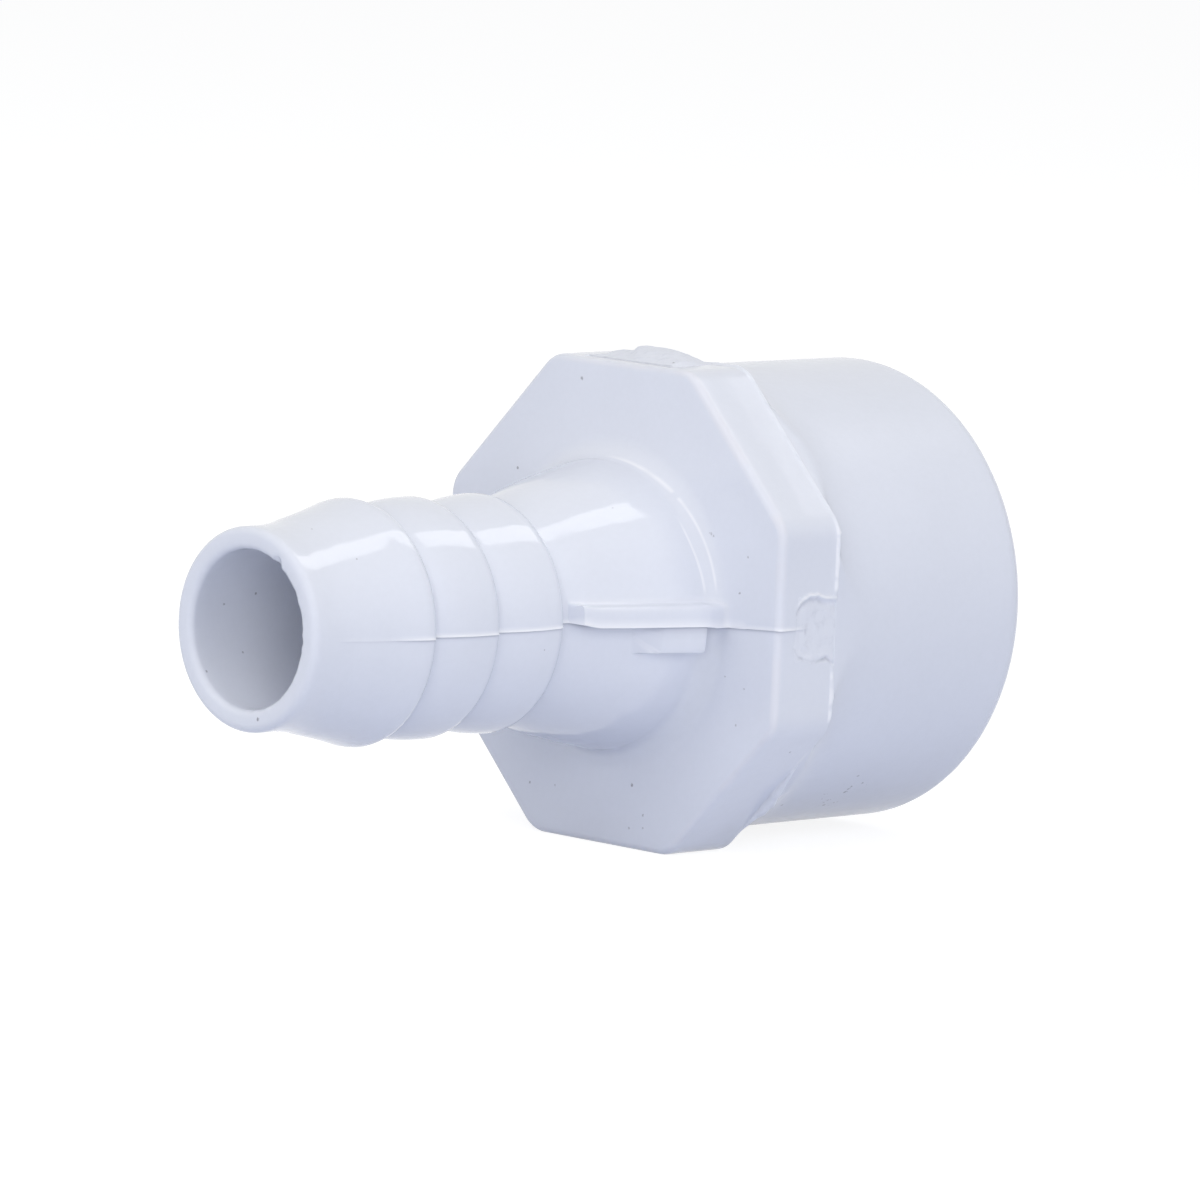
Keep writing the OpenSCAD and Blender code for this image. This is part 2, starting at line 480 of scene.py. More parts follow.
class RingPlan:
    """Lists the stations along the fitting, from the tip out, round and back inside."""

    def __init__(
        self, tail: TailSizes, shoulder: ShoulderSizes, flange: FlangeSizes, socket: SocketSizes,
        rib: RibSizes, parting: PartingSizes,
    ) -> None:
        """Keeps the sizes.

        Args:
            tail: Sizes of the hose tail.
            shoulder: Sizes of the shoulder.
            flange: Sizes of the flange.
            socket: Sizes of the socket.
            rib: Sizes of the rib and lug.
            parting: How the mould halves met.
        """
        self.tail, self.shoulder, self.flange = tail, shoulder, flange
        self.socket, self.rib, self.parting = socket, rib, parting

    def nose(self) -> list[Station]:
        """Rings of the tip's flat end and rounded edge.

        Returns:
            The stations.
        """
        t = self.tail
        flat = [(0.0, r) for r in (t.bore_r + t.bore_edge, t.bore_r + t.bore_edge + 0.2)]
        edge = arc((t.nose_round, t.nose_r - t.nose_round), (t.nose_round,) * 2, 180, 90, 7)
        return [Station(*p) for p in flat + edge + [(1.0, t.nose_r), (1.5, t.nose_r)]]

    def barb(self, front: Sequence[Point], steps: int) -> list[Station]:
        """Rings of one barb: its swelling front, its crest and its drop.

        Args:
            front: Curve of the front, ending at the crest.
            steps: Number of rings on the front.

        Returns:
            The stations.
        """
        t = self.tail
        first, crest = front[0][0], front[-1]
        at = [first + (crest[0] - 0.06 - first) * i / steps for i in range(steps + 1)]
        rows = through(front, at)
        drop = arc((crest[0], t.groove_r), (t.drop, crest[1] - 0.02 - t.groove_r), 90, 0, 7)
        return [Station(*p) for p in rows + drop[:-1]]

    def bell(self) -> list[Station]:
        """Rings of the shoulder, close together where the rib and the lug start and end.

        Returns:
            The stations.
        """
        s, g = self.shoulder, self.rib
        first, last = s.curve[0][0], s.curve[-1][0]
        places = set(np.round(np.linspace(first, last, 30), 3))
        for wall, way in ((g.start, 1), (g.lug_root, 1), (g.lug_back, -1)):
            places = {p for p in places if not 0 < (p - wall) * way < 0.24}
            places |= {round(wall + way * d, 3) for d in (0.0, 0.015, 0.04, 0.08, 0.15, 0.24)}
        return [Station(*p) for p in through(s.curve, sorted(places))]

    def flange_rings(self) -> list[Station]:
        """Rings of the shoulder's foot, the flange's face, its rim and its side.

        Returns:
            The stations.
        """
        s, f = self.shoulder, self.flange
        edge_r = s.curve[-1][1] + s.foot
        foot = arc((f.front - s.foot, edge_r), (s.foot,) * 2, 270, 360, 9)[1:]
        rings = [Station(*p) for p in foot]
        for share in (0.04, 0.09, 0.14, 0.2, 0.28, 0.4, 0.55, 0.7, 0.85):
            rings.append(Station(f.front, edge_r, square=share, inset=f.rim))
        for x, out in arc((f.front + f.rim, 0.0), (f.rim,) * 2, 180, 90, 6):
            rings.append(Station(x, f.half_w, square=1.0, inset=f.rim - out))
        first = f.front + f.rim
        side_rings = 32
        for i in range(1, side_rings + 1):
            along = first + (f.back - first) * i / (side_rings + 1)
            rings.append(Station(along, f.half_w, square=1.0))
        for along, inset in (
            (f.back - 0.12, 0.0), (f.back - 0.09, 0.0), (f.back - 0.065, 0.0),
            (f.back - 0.025, 0.0), (f.back, 0.03),
        ):
            rings.append(Station(along, f.half_w, square=1.0, inset=inset))
        return rings

    def socket_rings(self) -> list[Station]:
        """Rings of the flange's back face, the socket and the way back to the tip.

        Returns:
            The stations.
        """
        f, s, t = self.flange, self.socket, self.tail
        root = arc(
            (f.back + s.root_len, s.r + s.root_rise), (s.root_len, s.root_rise), 180, 270, 10
        )
        outer = [(f.back + s.root_len + d, s.r) for d in (1.0, 2.4, 4.0, 6.0, 8.0, 10.0, 11.6)]
        outer += arc((s.end - s.end_round, s.r - s.end_round), (s.end_round,) * 2, 90, 0, 10)
        rings = [Station(*p, held_in=1.0) for p in root] + [Station(*p) for p in outer]
        inner = [
            (s.end, s.bore_r + s.lead_in + 0.15), (s.end - 0.05, s.bore_r + s.lead_in),
            (s.end - s.lead_in, s.bore_r + 0.03), (s.end - s.lead_in - 0.15, s.bore_r),
            (s.end - 6.0, s.bore_r), (s.end - 12.0, s.bore_r), (s.stop + 0.15, s.bore_r),
            (s.stop + 0.04, s.bore_r - 0.04), (s.stop, s.bore_r - 0.15),
            (s.stop, s.waterway_r + 0.2), (s.stop - 0.06, s.waterway_r + 0.06),
            (s.stop - 0.25, s.waterway_r - 0.07),
            (s.stop - s.taper + 0.6, t.bore_r + 0.16), (s.stop - s.taper, t.bore_r + 0.03),
            (s.stop - s.taper - 0.6, t.bore_r), (18.0, t.bore_r), (12.0, t.bore_r),
            (8.0, t.bore_r), (5.0, t.bore_r), (3.0, t.bore_r), (1.8, t.bore_r), (1.1, t.bore_r),
        ]
        inner += arc((t.bore_edge, t.bore_r + t.bore_edge), (t.bore_edge,) * 2, 270, 180, 6)
        return rings + [Station(*p, outside=0.0) for p in inner]

    def rings(self) -> list[Station]:
        """All stations, in order. The last one is the first again.

        Returns:
            The stations.
        """
        t = self.tail
        rings = self.nose() + self.barb(t.first_front, 16) + self.barb(t.second_front, 14)
        rings += self.barb(t.third_front, 14) + self.bell() + self.flange_rings()
        rings += self.socket_rings()
        for ring in rings:
            self.set_mould(ring)
        self.set_rib(rings)
        return rings[:-1] + [rings[0]]

    def set_mould(self, ring: Station) -> None:
        """Sets how far the mould halves stood apart at a ring.

        Args:
            ring: The station to fill in.
        """
        if not ring.outside:
            return
        p, front, back = self.parting, self.flange.front, self.flange.back
        faint = p.tip_share * smooth_step(ring.along, p.tip_starts, p.tip_full)
        full = (1.0 - p.tip_share) * smooth_step(ring.along, p.starts, p.full)
        fade = smooth_step(ring.along, back - p.dies_last, front + p.dies_first)
        ring.step = float((faint + full) * fade)
        ring.wave = through(p.wave, [min(ring.along, p.wave[-1][0])])[0][1]
        if ring.along > front:
            ring.wave *= float(smooth_step(ring.along, back, front + 0.3))
        if ring.square:
            ring.wave *= 1.0 - 0.9 * ring.square
        ring.flash = p.flash * ring.step

    def set_rib(self, rings: Sequence[Station]) -> None:
        """Sets where the rib and the lug stand at each ring.

        Args:
            rings: The stations to fill in.
        """
        g, s, f = self.rib, self.shoulder, self.flange
        last, last_r = s.curve[-1]
        foot_r, top_r = last_r + s.foot, last_r + g.out
        foot = [
            r for r in rings
            if r.outside and r.along > last and r.r <= foot_r + 1e-6 and not r.square
        ]
        face = [r for r in rings if 0 < r.square < 1]
        ramp, bend, straight = 0.16, 0.35, 0.5
        for ring in rings:
            ring.rib = (ring.along, ring.r, 0.0)
            ring.lug = (ring.along, ring.r, 0.0)
            if g.start <= ring.along <= last and ring.outside:
                share = float(smooth_step(ring.along, g.start - 0.005, g.start + ramp))
                ring.rib = (ring.along, ring.r + g.out, share)
            if g.lug_root <= ring.along <= g.lug_back and ring.outside:
                way = (ring.along - g.lug_root) / (g.lug_back - g.lug_root)
                up = smooth_step(ring.along, g.lug_root - 0.005, g.lug_root + ramp)
                down = smooth_step(ring.along, g.lug_back + 0.005, g.lug_back - ramp)
                along = g.lug_front + (g.lug_back - g.lug_front) * way
                ring.lug = (along, ring.r + g.out, float(up * down))
        for i, ring in enumerate(foot):
            way = (i + 1) / len(foot)
            if way <= straight:
                along = last + (f.front - bend - last) * way / straight
                ring.rib = (along, top_r, 1.0)
            else:
                a = math.pi / 2 * (way - straight) / (1 - straight)
                ring.rib = (
                    f.front - bend + bend * math.sin(a), top_r + bend * (1 - math.cos(a)), 1.0
                )
        for ring in face:
            plain = foot_r + (f.half_w - f.rim - foot_r) * ring.square
            share = 1.0 - float(smooth_step(ring.square, 0.1, 0.42))
            ring.rib = (f.front, max(plain, top_r + 0.36 + 0.5 * ring.square), share)


class ColumnPlan:
    """Lists the columns round the fitting, from the plain side over the top and round."""

    PLAIN_SIDE = (0.0, 0.03, 0.08, 0.2, 0.4)
    # Height when plain, height on the rib, share of the rib's reach.
    RIB_SIDE = (
        (0.0, 0.0, 0.94), (0.03, 0.03, 0.985), (0.08, 0.1, 1.0), (0.18, 0.34, 1.0),
        (0.3, 0.6, 1.0), (0.43, 0.86, 1.0), (0.56, 1.02, 0.995), (0.69, 1.12, 0.965),
        (0.82, 1.18, 0.9), (0.95, 1.2, 0.74), (1.08, 1.21, 0.48), (1.21, 1.235, 0.22),
        (1.34, 1.28, 0.08), (1.47, 1.38, 0.015), (1.6, 1.52, 0.0),
    )
    LUG_SIDE = (
        (0.0, 0.0, 0.96), (0.03, 0.04, 1.0), (0.08, 0.12, 1.0), (0.18, 0.48, 1.0),
        (0.3, 0.88, 1.0), (0.43, 1.26, 1.0), (0.56, 1.51, 0.995), (0.69, 1.64, 0.965),
        (0.82, 1.71, 0.9), (0.95, 1.74, 0.74), (1.08, 1.76, 0.48), (1.21, 1.78, 0.22),
        (1.34, 1.82, 0.08), (1.47, 1.88, 0.015), (1.6, 1.95, 0.0),
    )
    BEYOND = tuple(round(1.6 + 0.07 * k, 2) for k in range(1, 13))
    # Where the wave of the parting line is gone and where it is whole, by height.
    CALM = {Side.PLAIN: (0.4, 0.08), Side.RIB: (1.6, 0.1)}
    # Below these heights the level columns stand, and above them the others.
    LEVEL_UP_TO = {Side.PLAIN: 0.55, Side.RIB: 2.5}
    # Shares of each level column, from the parting plane outwards. Of these, the second
    # is painted shadow under the seam, the third the seam's pale line, partly whitened
    # flash and partly painted highlight, and the fourth a painted highlight along the
    # lug's lower edge.
    FLASH = (1.0, 0.8, 0.15)
    SEAM_SHADE = (0.95, 0.9, 0.5, 0.1)
    GLOW = (1.0, 1.0, 1.0, 0.45)
    LUG_EDGE_HIGHLIGHT = (0.0,) * 7 + (0.8,) * 3

    def __init__(self, flange: FlangeSizes) -> None:
        """Keeps the sizes.

        Args:
            flange: Sizes of the flange, whose outline places the columns.
        """
        self.flange = flange

    def outline(self) -> list[tuple[Point, Point]]:
        """Walks round the octagon from the plain side over the top.

        Returns:
            Pairs of point and outward direction.
        """
        f = self.flange
        short = math.tan(math.radians(22.5))
        signs = [
            (1, short), (short, 1), (-short, 1), (-1, short),
            (-1, -short), (-short, -1), (short, -1), (1, -short),
        ]
        corners = [Vector((y * f.half_w, z * f.half_h)) for y, z in signs]
        walk: list[tuple[Point, Point]] = []
        arcs = []
        for i, here in enumerate(corners):
            u = (corners[i - 1] - here).normalized()
            v = (corners[(i + 1) % 8] - here).normalized()
            half = u.angle(v) / 2
            inward = (u + v).normalized()
            centre = here + inward * (f.corner_r / math.sin(half))
            aim = math.atan2(-inward.y, -inward.x)
            spread = math.pi / 2 - half
            turns = [aim + spread * (2 * k / 7 - 1) for k in range(8)]
            arcs.append([(centre, Vector((math.cos(a), math.sin(a)))) for a in turns])
        for i, bend in enumerate(arcs):
            for centre, way in bend:
                spot = centre + way * f.corner_r
                walk.append(((spot.x, spot.y), (way.x, way.y)))
            nxt = arcs[(i + 1) % 8]
            a, b = bend[-1], nxt[0]
            start, end = a[0] + a[1] * f.corner_r, b[0] + b[1] * f.corner_r
            steps = 34
            for k in range(1, steps):
                spot = start.lerp(end, k / steps)
                walk.append(((spot.x, spot.y), (a[1].x, a[1].y)))
        return walk

    def parting(self, side: Side, upper: bool) -> list[Column]:
        """Columns beside the parting plane, from the plane outwards.

        Args:
            side: Which side of the fitting.
            upper: Whether they belong to the mould's upper half.

        Returns:
            The columns.
        """
        y = side.value * self.flange.half_w
        sign = 1.0 if upper else -1.0
        if side is Side.PLAIN:
            rows = [(h, h, 0.0) for h in self.PLAIN_SIDE]
        else:
            rows = list(self.RIB_SIDE if upper else self.LUG_SIDE)
            first, close, end = rows[-1][0], rows[-1][1], self.BEYOND[-1]
            rows += [
                (h, close + (end - close) * (h - first) / (end - first), 0.0) for h in self.BEYOND
            ]

        def nth(shares: Sequence[float], i: int, wanted: bool) -> float:
            """Gives a column's share, or 0 where it has none."""
            return shares[i] if wanted and i < len(shares) else 0.0

        out = []
        for i, (plain, on_rib, share) in enumerate(rows):
            out.append(Column(
                spot=(y, sign * plain), facing=(float(side.value), 0.0), level=True,
                plain=sign * plain, on_rib=sign * on_rib,
                rib_share=share if upper else 0.0, lug_share=0.0 if upper else share,
                upper=float(upper), flash=nth(self.FLASH, i, upper),
                seam_shade=nth(self.SEAM_SHADE, i, not upper), glow=nth(self.GLOW, i, upper),
                lug_edge_highlight=nth(self.LUG_EDGE_HIGHLIGHT, i, side is Side.RIB and not upper),
                sway=float(smooth_step(plain, *self.CALM[side])), last_level=rows[-1][0],
            ))
        return out

    def columns(self) -> list[Column]:
        """All columns, in order. The last one is the first again.

        Returns:
            The columns.
        """
        last = {Side.PLAIN: self.PLAIN_SIDE[-1], Side.RIB: self.BEYOND[-1]}
        polar = []
        for spot, way in self.outline():
            side = Side.RIB if spot[0] < 0 else Side.PLAIN
            if abs(spot[1]) > self.LEVEL_UP_TO[side]:
                polar.append(
                    Column(spot, way, upper=float(spot[1] > 0), last_level=last[side])
                )
        polar.sort(key=lambda c: math.atan2(c.spot[1], c.spot[0]) % (2 * math.pi))
        top = [c for c in polar if c.upper]
        low = [c for c in polar if not c.upper]
        ring = self.parting(Side.PLAIN, True) + top + self.parting(Side.RIB, True)[::-1]
        ring += self.parting(Side.RIB, False) + low + self.parting(Side.PLAIN, False)[::-1]
        return ring + [ring[0]]


class BodySweep:
    """The Geometry Nodes tree that sweeps the stations round the columns."""

    INPUTS = (
        ("Columns", "NodeSocketObject", None),
        ("Station Count", "NodeSocketInt", 2),
        ("Column Count", "NodeSocketInt", 2),
        ("Step Back", "NodeSocketFloat", 0.0),
        ("Step Out", "NodeSocketFloat", 0.0),
        ("Ripple", "NodeSocketFloat", 0.0),
        ("Ripple Size", "NodeSocketFloat", 1.0),
        ("Seed", "NodeSocketInt", 0),
        ("Material", "NodeSocketMaterial", None),
    )
    # What the three parts of each attribute are called here.
    STATION_FIELDS = {
        "position": ("along", "radius", "nothing"),
        "shape": ("square", "inset", "wave"),
        "rib": ("rib_along", "rib_r", "rib"),
        "lug": ("lug_along", "lug_r", "lug"),
        "mould": ("step", "flash", "outside"),
        "limit": ("held_in", "nothing", "nothing"),
    }
    COLUMN_FIELDS = {
        "position": ("nothing", "spot_y", "spot_z"),
        "facing": ("face_y", "face_z", "level"),
        "height": ("plain", "on_rib", "sway"),
        "share": ("rib_share", "lug_share", "upper"),
        "edge": ("line_flash", "last_level", "last_turn"),
        "tone": ("seam_shade", "glow", "lug_edge_highlight"),
    }

    def __init__(self) -> None:
        """Builds the tree."""
        self.tree = bpy.data.node_groups.new("moulded_body_sweep", "GeometryNodeTree")
        self.ids: dict[str, str] = {}
        face = self.tree.interface
        face.new_socket("Stations", in_out="INPUT", socket_type="NodeSocketGeometry")
        face.new_socket("Body", in_out="OUTPUT", socket_type="NodeSocketGeometry")
        for name, kind, default in self.INPUTS:
            socket = face.new_socket(name, in_out="INPUT", socket_type=kind)
            if default is not None:
                socket.default_value = default
            self.ids[name] = socket.identifier
        self.desk = NodeDesk(self.tree)
        self.build()

    def sample(self, geometry: object, name: str, index: object) -> list[bpy.types.NodeSocket]:
        """Reads a vector attribute at a point of a geometry.

        Args:
            geometry: Where it is stored.
            name: Its name, or "position".
            index: The point's number.

        Returns:
            Its three parts.
        """
        desk = self.desk
        if name == "position":
            value = desk.add("GeometryNodeInputPosition").outputs[0]
        else:
            value = desk.feed(
                desk.add("GeometryNodeInputNamedAttribute", data_type="FLOAT_VECTOR"), Name=name
            ).outputs["Attribute"]
        node = desk.add("GeometryNodeSampleIndex", data_type="FLOAT_VECTOR", domain="POINT")
        desk.feed(node, Geometry=geometry, Value=value, Index=index)
        return desk.split(node.outputs["Value"])

    def build(self) -> None:
        """Lays out the nodes."""
        d = self.desk
        given = d.add("NodeGroupInput").outputs
        columns = d.feed(
            d.add("GeometryNodeObjectInfo", transform_space="ORIGINAL"), Object=given["Columns"]
        ).outputs["Geometry"]
        along_count = d.math("SUBTRACT", given["Station Count"], 1)
        round_count = d.math("SUBTRACT", given["Column Count"], 1)
        body = d.feed(
            d.add("GeometryNodeMeshGrid"), Size__X=along_count, Size__Y=round_count,
            Vertices__X=given["Station Count"], Vertices__Y=given["Column Count"],
        )
        gx, gy, _ = d.split(d.add("GeometryNodeInputPosition").outputs[0])
        ring_no = d.math("ROUND", d.math("MULTIPLY_ADD", along_count, 0.5, gx))
        line_no = d.math("ROUND", d.math("MULTIPLY_ADD", round_count, 0.5, gy))
        at: Sockets = {}
        for geometry, index, fields in (
            (given["Stations"], ring_no, self.STATION_FIELDS),
            (columns, line_no, self.COLUMN_FIELDS),
        ):
            for name, called in fields.items():
                at.update(zip(called, self.sample(geometry, name, index)))

        x, r = self.reach(at)
        level_y, level_z = self.on_level(at, r)
        round_y, round_z = self.on_turn(at, r)
        round_y = d.blend(at["level"], round_y, level_y)
        round_z = d.blend(at["level"], round_z, level_z)
        flat_y, flat_z = self.on_octagon(at, level_z)
        y = d.blend(at["square"], round_y, flat_y)
        z = d.blend(at["square"], round_z, flat_z)
        stepped = d.math("MULTIPLY", at["step"], at["upper"])
        x = d.math("SUBTRACT", x, d.math("MULTIPLY", stepped, given["Step Back"]))
        y = d.math("SUBTRACT", y, d.math("MULTIPLY", stepped, given["Step Out"]))
        place = self.rippled(given, at, x, y, z)
        metres = d.vector("SCALE", d.vector("ADD", place, (TIP_X, 0.0, 0.0)), MM)

        for name, value in self.tones(at).items():
            store = d.add("GeometryNodeStoreNamedAttribute", data_type="FLOAT", domain="POINT")
            body = d.feed(store, Geometry=body.outputs[0], Name=name, Value=value)
        body = d.feed(d.add("GeometryNodeSetPosition"), Geometry=body.outputs[0], Position=metres)
        body = d.feed(d.add("GeometryNodeMergeByDistance"), Geometry=body.outputs[0],
                      Distance=WELD)
        body = d.feed(d.add("GeometryNodeRealizeInstances"), Geometry=body.outputs[0])
        body = d.feed(d.add("GeometryNodeSetMaterial"), Geometry=body.outputs[0],
                      Material=given["Material"])
        d.feed(d.add("NodeGroupOutput"), _0=body.outputs[0])

    def reach(self, at: Sockets) -> tuple[bpy.types.NodeSocket, bpy.types.NodeSocket]:
        """Gives each vertex its place along the axis and its distance from it.

        Args:
            at: The station's and the column's fields.

        Returns:
            The place along, and the radius, with the rib, the lug and the flash on it.
        """
        d = self.desk
        to_rib = d.math("MULTIPLY", at["rib"], at["rib_share"])
        to_lug = d.math("MULTIPLY", at["lug"], at["lug_share"])
        x = d.blend(to_lug, d.blend(to_rib, at["along"], at["rib_along"]), at["lug_along"])
        r = d.blend(to_lug, d.blend(to_rib, at["radius"], at["rib_r"]), at["lug_r"])
        r = d.math("MULTIPLY_ADD", at["flash"], at["line_flash"], r)
        spot_y, spot_z = at["spot_y"], at["spot_z"]
        spot_len = d.math("SQRT", d.math(
            "ADD", d.math("MULTIPLY", spot_y, spot_y), d.math("MULTIPLY", spot_z, spot_z)))
        within = d.math("MINIMUM", r, d.math("SUBTRACT", spot_len, 0.04))
        return x, d.blend(at["held_in"], r, within)

    def on_level(
        self, at: Sockets, r: bpy.types.NodeSocket
    ) -> tuple[bpy.types.NodeSocket, bpy.types.NodeSocket]:
        """Places a column by the parting plane, which keeps its level.

        Args:
            at: The station's and the column's fields.
            r: The radius.

        Returns:
            The place across, and the height.
        """
        d = self.desk
        held = d.math("MAXIMUM", d.math("MULTIPLY", at["rib"], at["upper"]),
                      d.math("MULTIPLY", at["lug"], d.math("SUBTRACT", 1.0, at["upper"])))
        height = d.blend(held, at["plain"], at["on_rib"])
        z = d.math("MULTIPLY_ADD", at["wave"], at["sway"], height)
        y = d.math("SQRT", d.math("MAXIMUM", 0.0, d.math(
            "SUBTRACT", d.math("MULTIPLY", r, r), d.math("MULTIPLY", z, z))))
        return d.math("MULTIPLY", y, at["face_y"]), z

    def on_turn(
        self, at: Sockets, r: bpy.types.NodeSocket
    ) -> tuple[bpy.types.NodeSocket, bpy.types.NodeSocket]:
        """Places the other columns, which share the turn that is left above the levels.

        Args:
            at: The station's and the column's fields.
            r: The radius.

        Returns:
            The place across, and the height.
        """
        d = self.desk
        quarter = math.pi / 2
        spot_y, spot_z = at["spot_y"], at["spot_z"]
        turn = d.math("ARCTAN2", d.math("ABSOLUTE", spot_z), d.math("ABSOLUTE", spot_y))
        taken = d.math("ARCSINE", d.math("DIVIDE", at["last_level"], r))
        left = d.math("DIVIDE", d.math("SUBTRACT", quarter, taken),
                      d.math("SUBTRACT", quarter, at["last_turn"]))
        turn = d.math("SUBTRACT", quarter, d.math(
            "MULTIPLY", d.math("SUBTRACT", quarter, turn), left))
        y = d.math("MULTIPLY", d.math("MULTIPLY", r, d.math("COSINE", turn)),
                   d.math("SIGN", spot_y))
        z = d.math("MULTIPLY", d.math("MULTIPLY", r, d.math("SINE", turn)),
                   d.math("SIGN", spot_z))
        return y, z

    def on_octagon(
        self, at: Sockets, level_z: bpy.types.NodeSocket
    ) -> tuple[bpy.types.NodeSocket, bpy.types.NodeSocket]:
        """Places a column on the flange's octagon, set in by the ring's inset.

        Args:
            at: The station's and the column's fields.
            level_z: The height that a column by the parting plane keeps.

        Returns:
            The place across, and the height.
        """
        d = self.desk
        y = d.math("SUBTRACT", at["spot_y"], d.math("MULTIPLY", at["face_y"], at["inset"]))
        z = d.math("SUBTRACT", at["spot_z"], d.math("MULTIPLY", at["face_z"], at["inset"]))
        flash = d.math("MULTIPLY", at["flash"], at["line_flash"])
        y = d.math("MULTIPLY_ADD", flash, at["face_y"], y)
        return y, d.blend(at["level"], z, level_z)

    def rippled(
        self, given: object, at: Sockets, x: object, y: object, z: object
    ) -> bpy.types.NodeSocket:
        """Adds the faint ripple that the cooling left on the round parts.

        Args:
            given: The tree's inputs.
            at: The station's and the column's fields.
            x: Place along.
            y: Place across.
            z: Height.

        Returns:
            The place with its ripple.
        """
        d = self.desk
        place = d.join(x, y, z)
        noise = d.add("ShaderNodeTexNoise", noise_dimensions="4D")
        d.feed(noise, Vector=place, W=given["Seed"],
               Scale=d.math("DIVIDE", 1.0, given["Ripple Size"]), Detail=1.0)
        lift = d.math("MULTIPLY", d.math("SUBTRACT", noise.outputs[0], 0.5), given["Ripple"])
        lift = d.math("MULTIPLY", lift, at["outside"])
        lift = d.math("MULTIPLY", lift, d.math("SUBTRACT", 1.0, at["square"]))
        away = d.vector("NORMALIZE", d.join(0.0, y, z))
        return d.vector("ADD", place, d.vector("SCALE", away, lift))

    def tones(self, at: Sockets) -> Sockets:
        """Gives the seam's pale line, partly painted highlight, and its painted shadow, by
        attribute name.
        """
        d = self.desk
        parted = d.math("MULTIPLY", at["step"], at["outside"])
        lug_edge_highlight = d.math("MULTIPLY", at["lug"], at["lug_edge_highlight"])
        return {
            "seam_light": d.math("MULTIPLY_ADD", parted, at["glow"], lug_edge_highlight),
            "seam_dark": d.math("MULTIPLY", parted, at["seam_shade"]),
        }


def cloud(name: str, points: Sequence[Sequence[float]],
          fields: dict[str, Sequence[Sequence[float]]]) -> bpy.types.Object:
    """Makes a mesh of loose points that carries vector attributes.

    Args:
        name: Name of the object.
        points: The points.
        fields: Attribute name to one vector for each point.

    Returns:
        The object, linked to the scene.
    """
    mesh = bpy.data.meshes.new(name)
    mesh.from_pydata([tuple(p) for p in points], [], [])
    for key, rows in fields.items():
        layer = mesh.attributes.new(key, "FLOAT_VECTOR", "POINT")
        layer.data.foreach_set("vector", np.asarray(rows, float).ravel())
    obj = bpy.data.objects.new(name, mesh)
    bpy.context.scene.collection.objects.link(obj)
    return obj


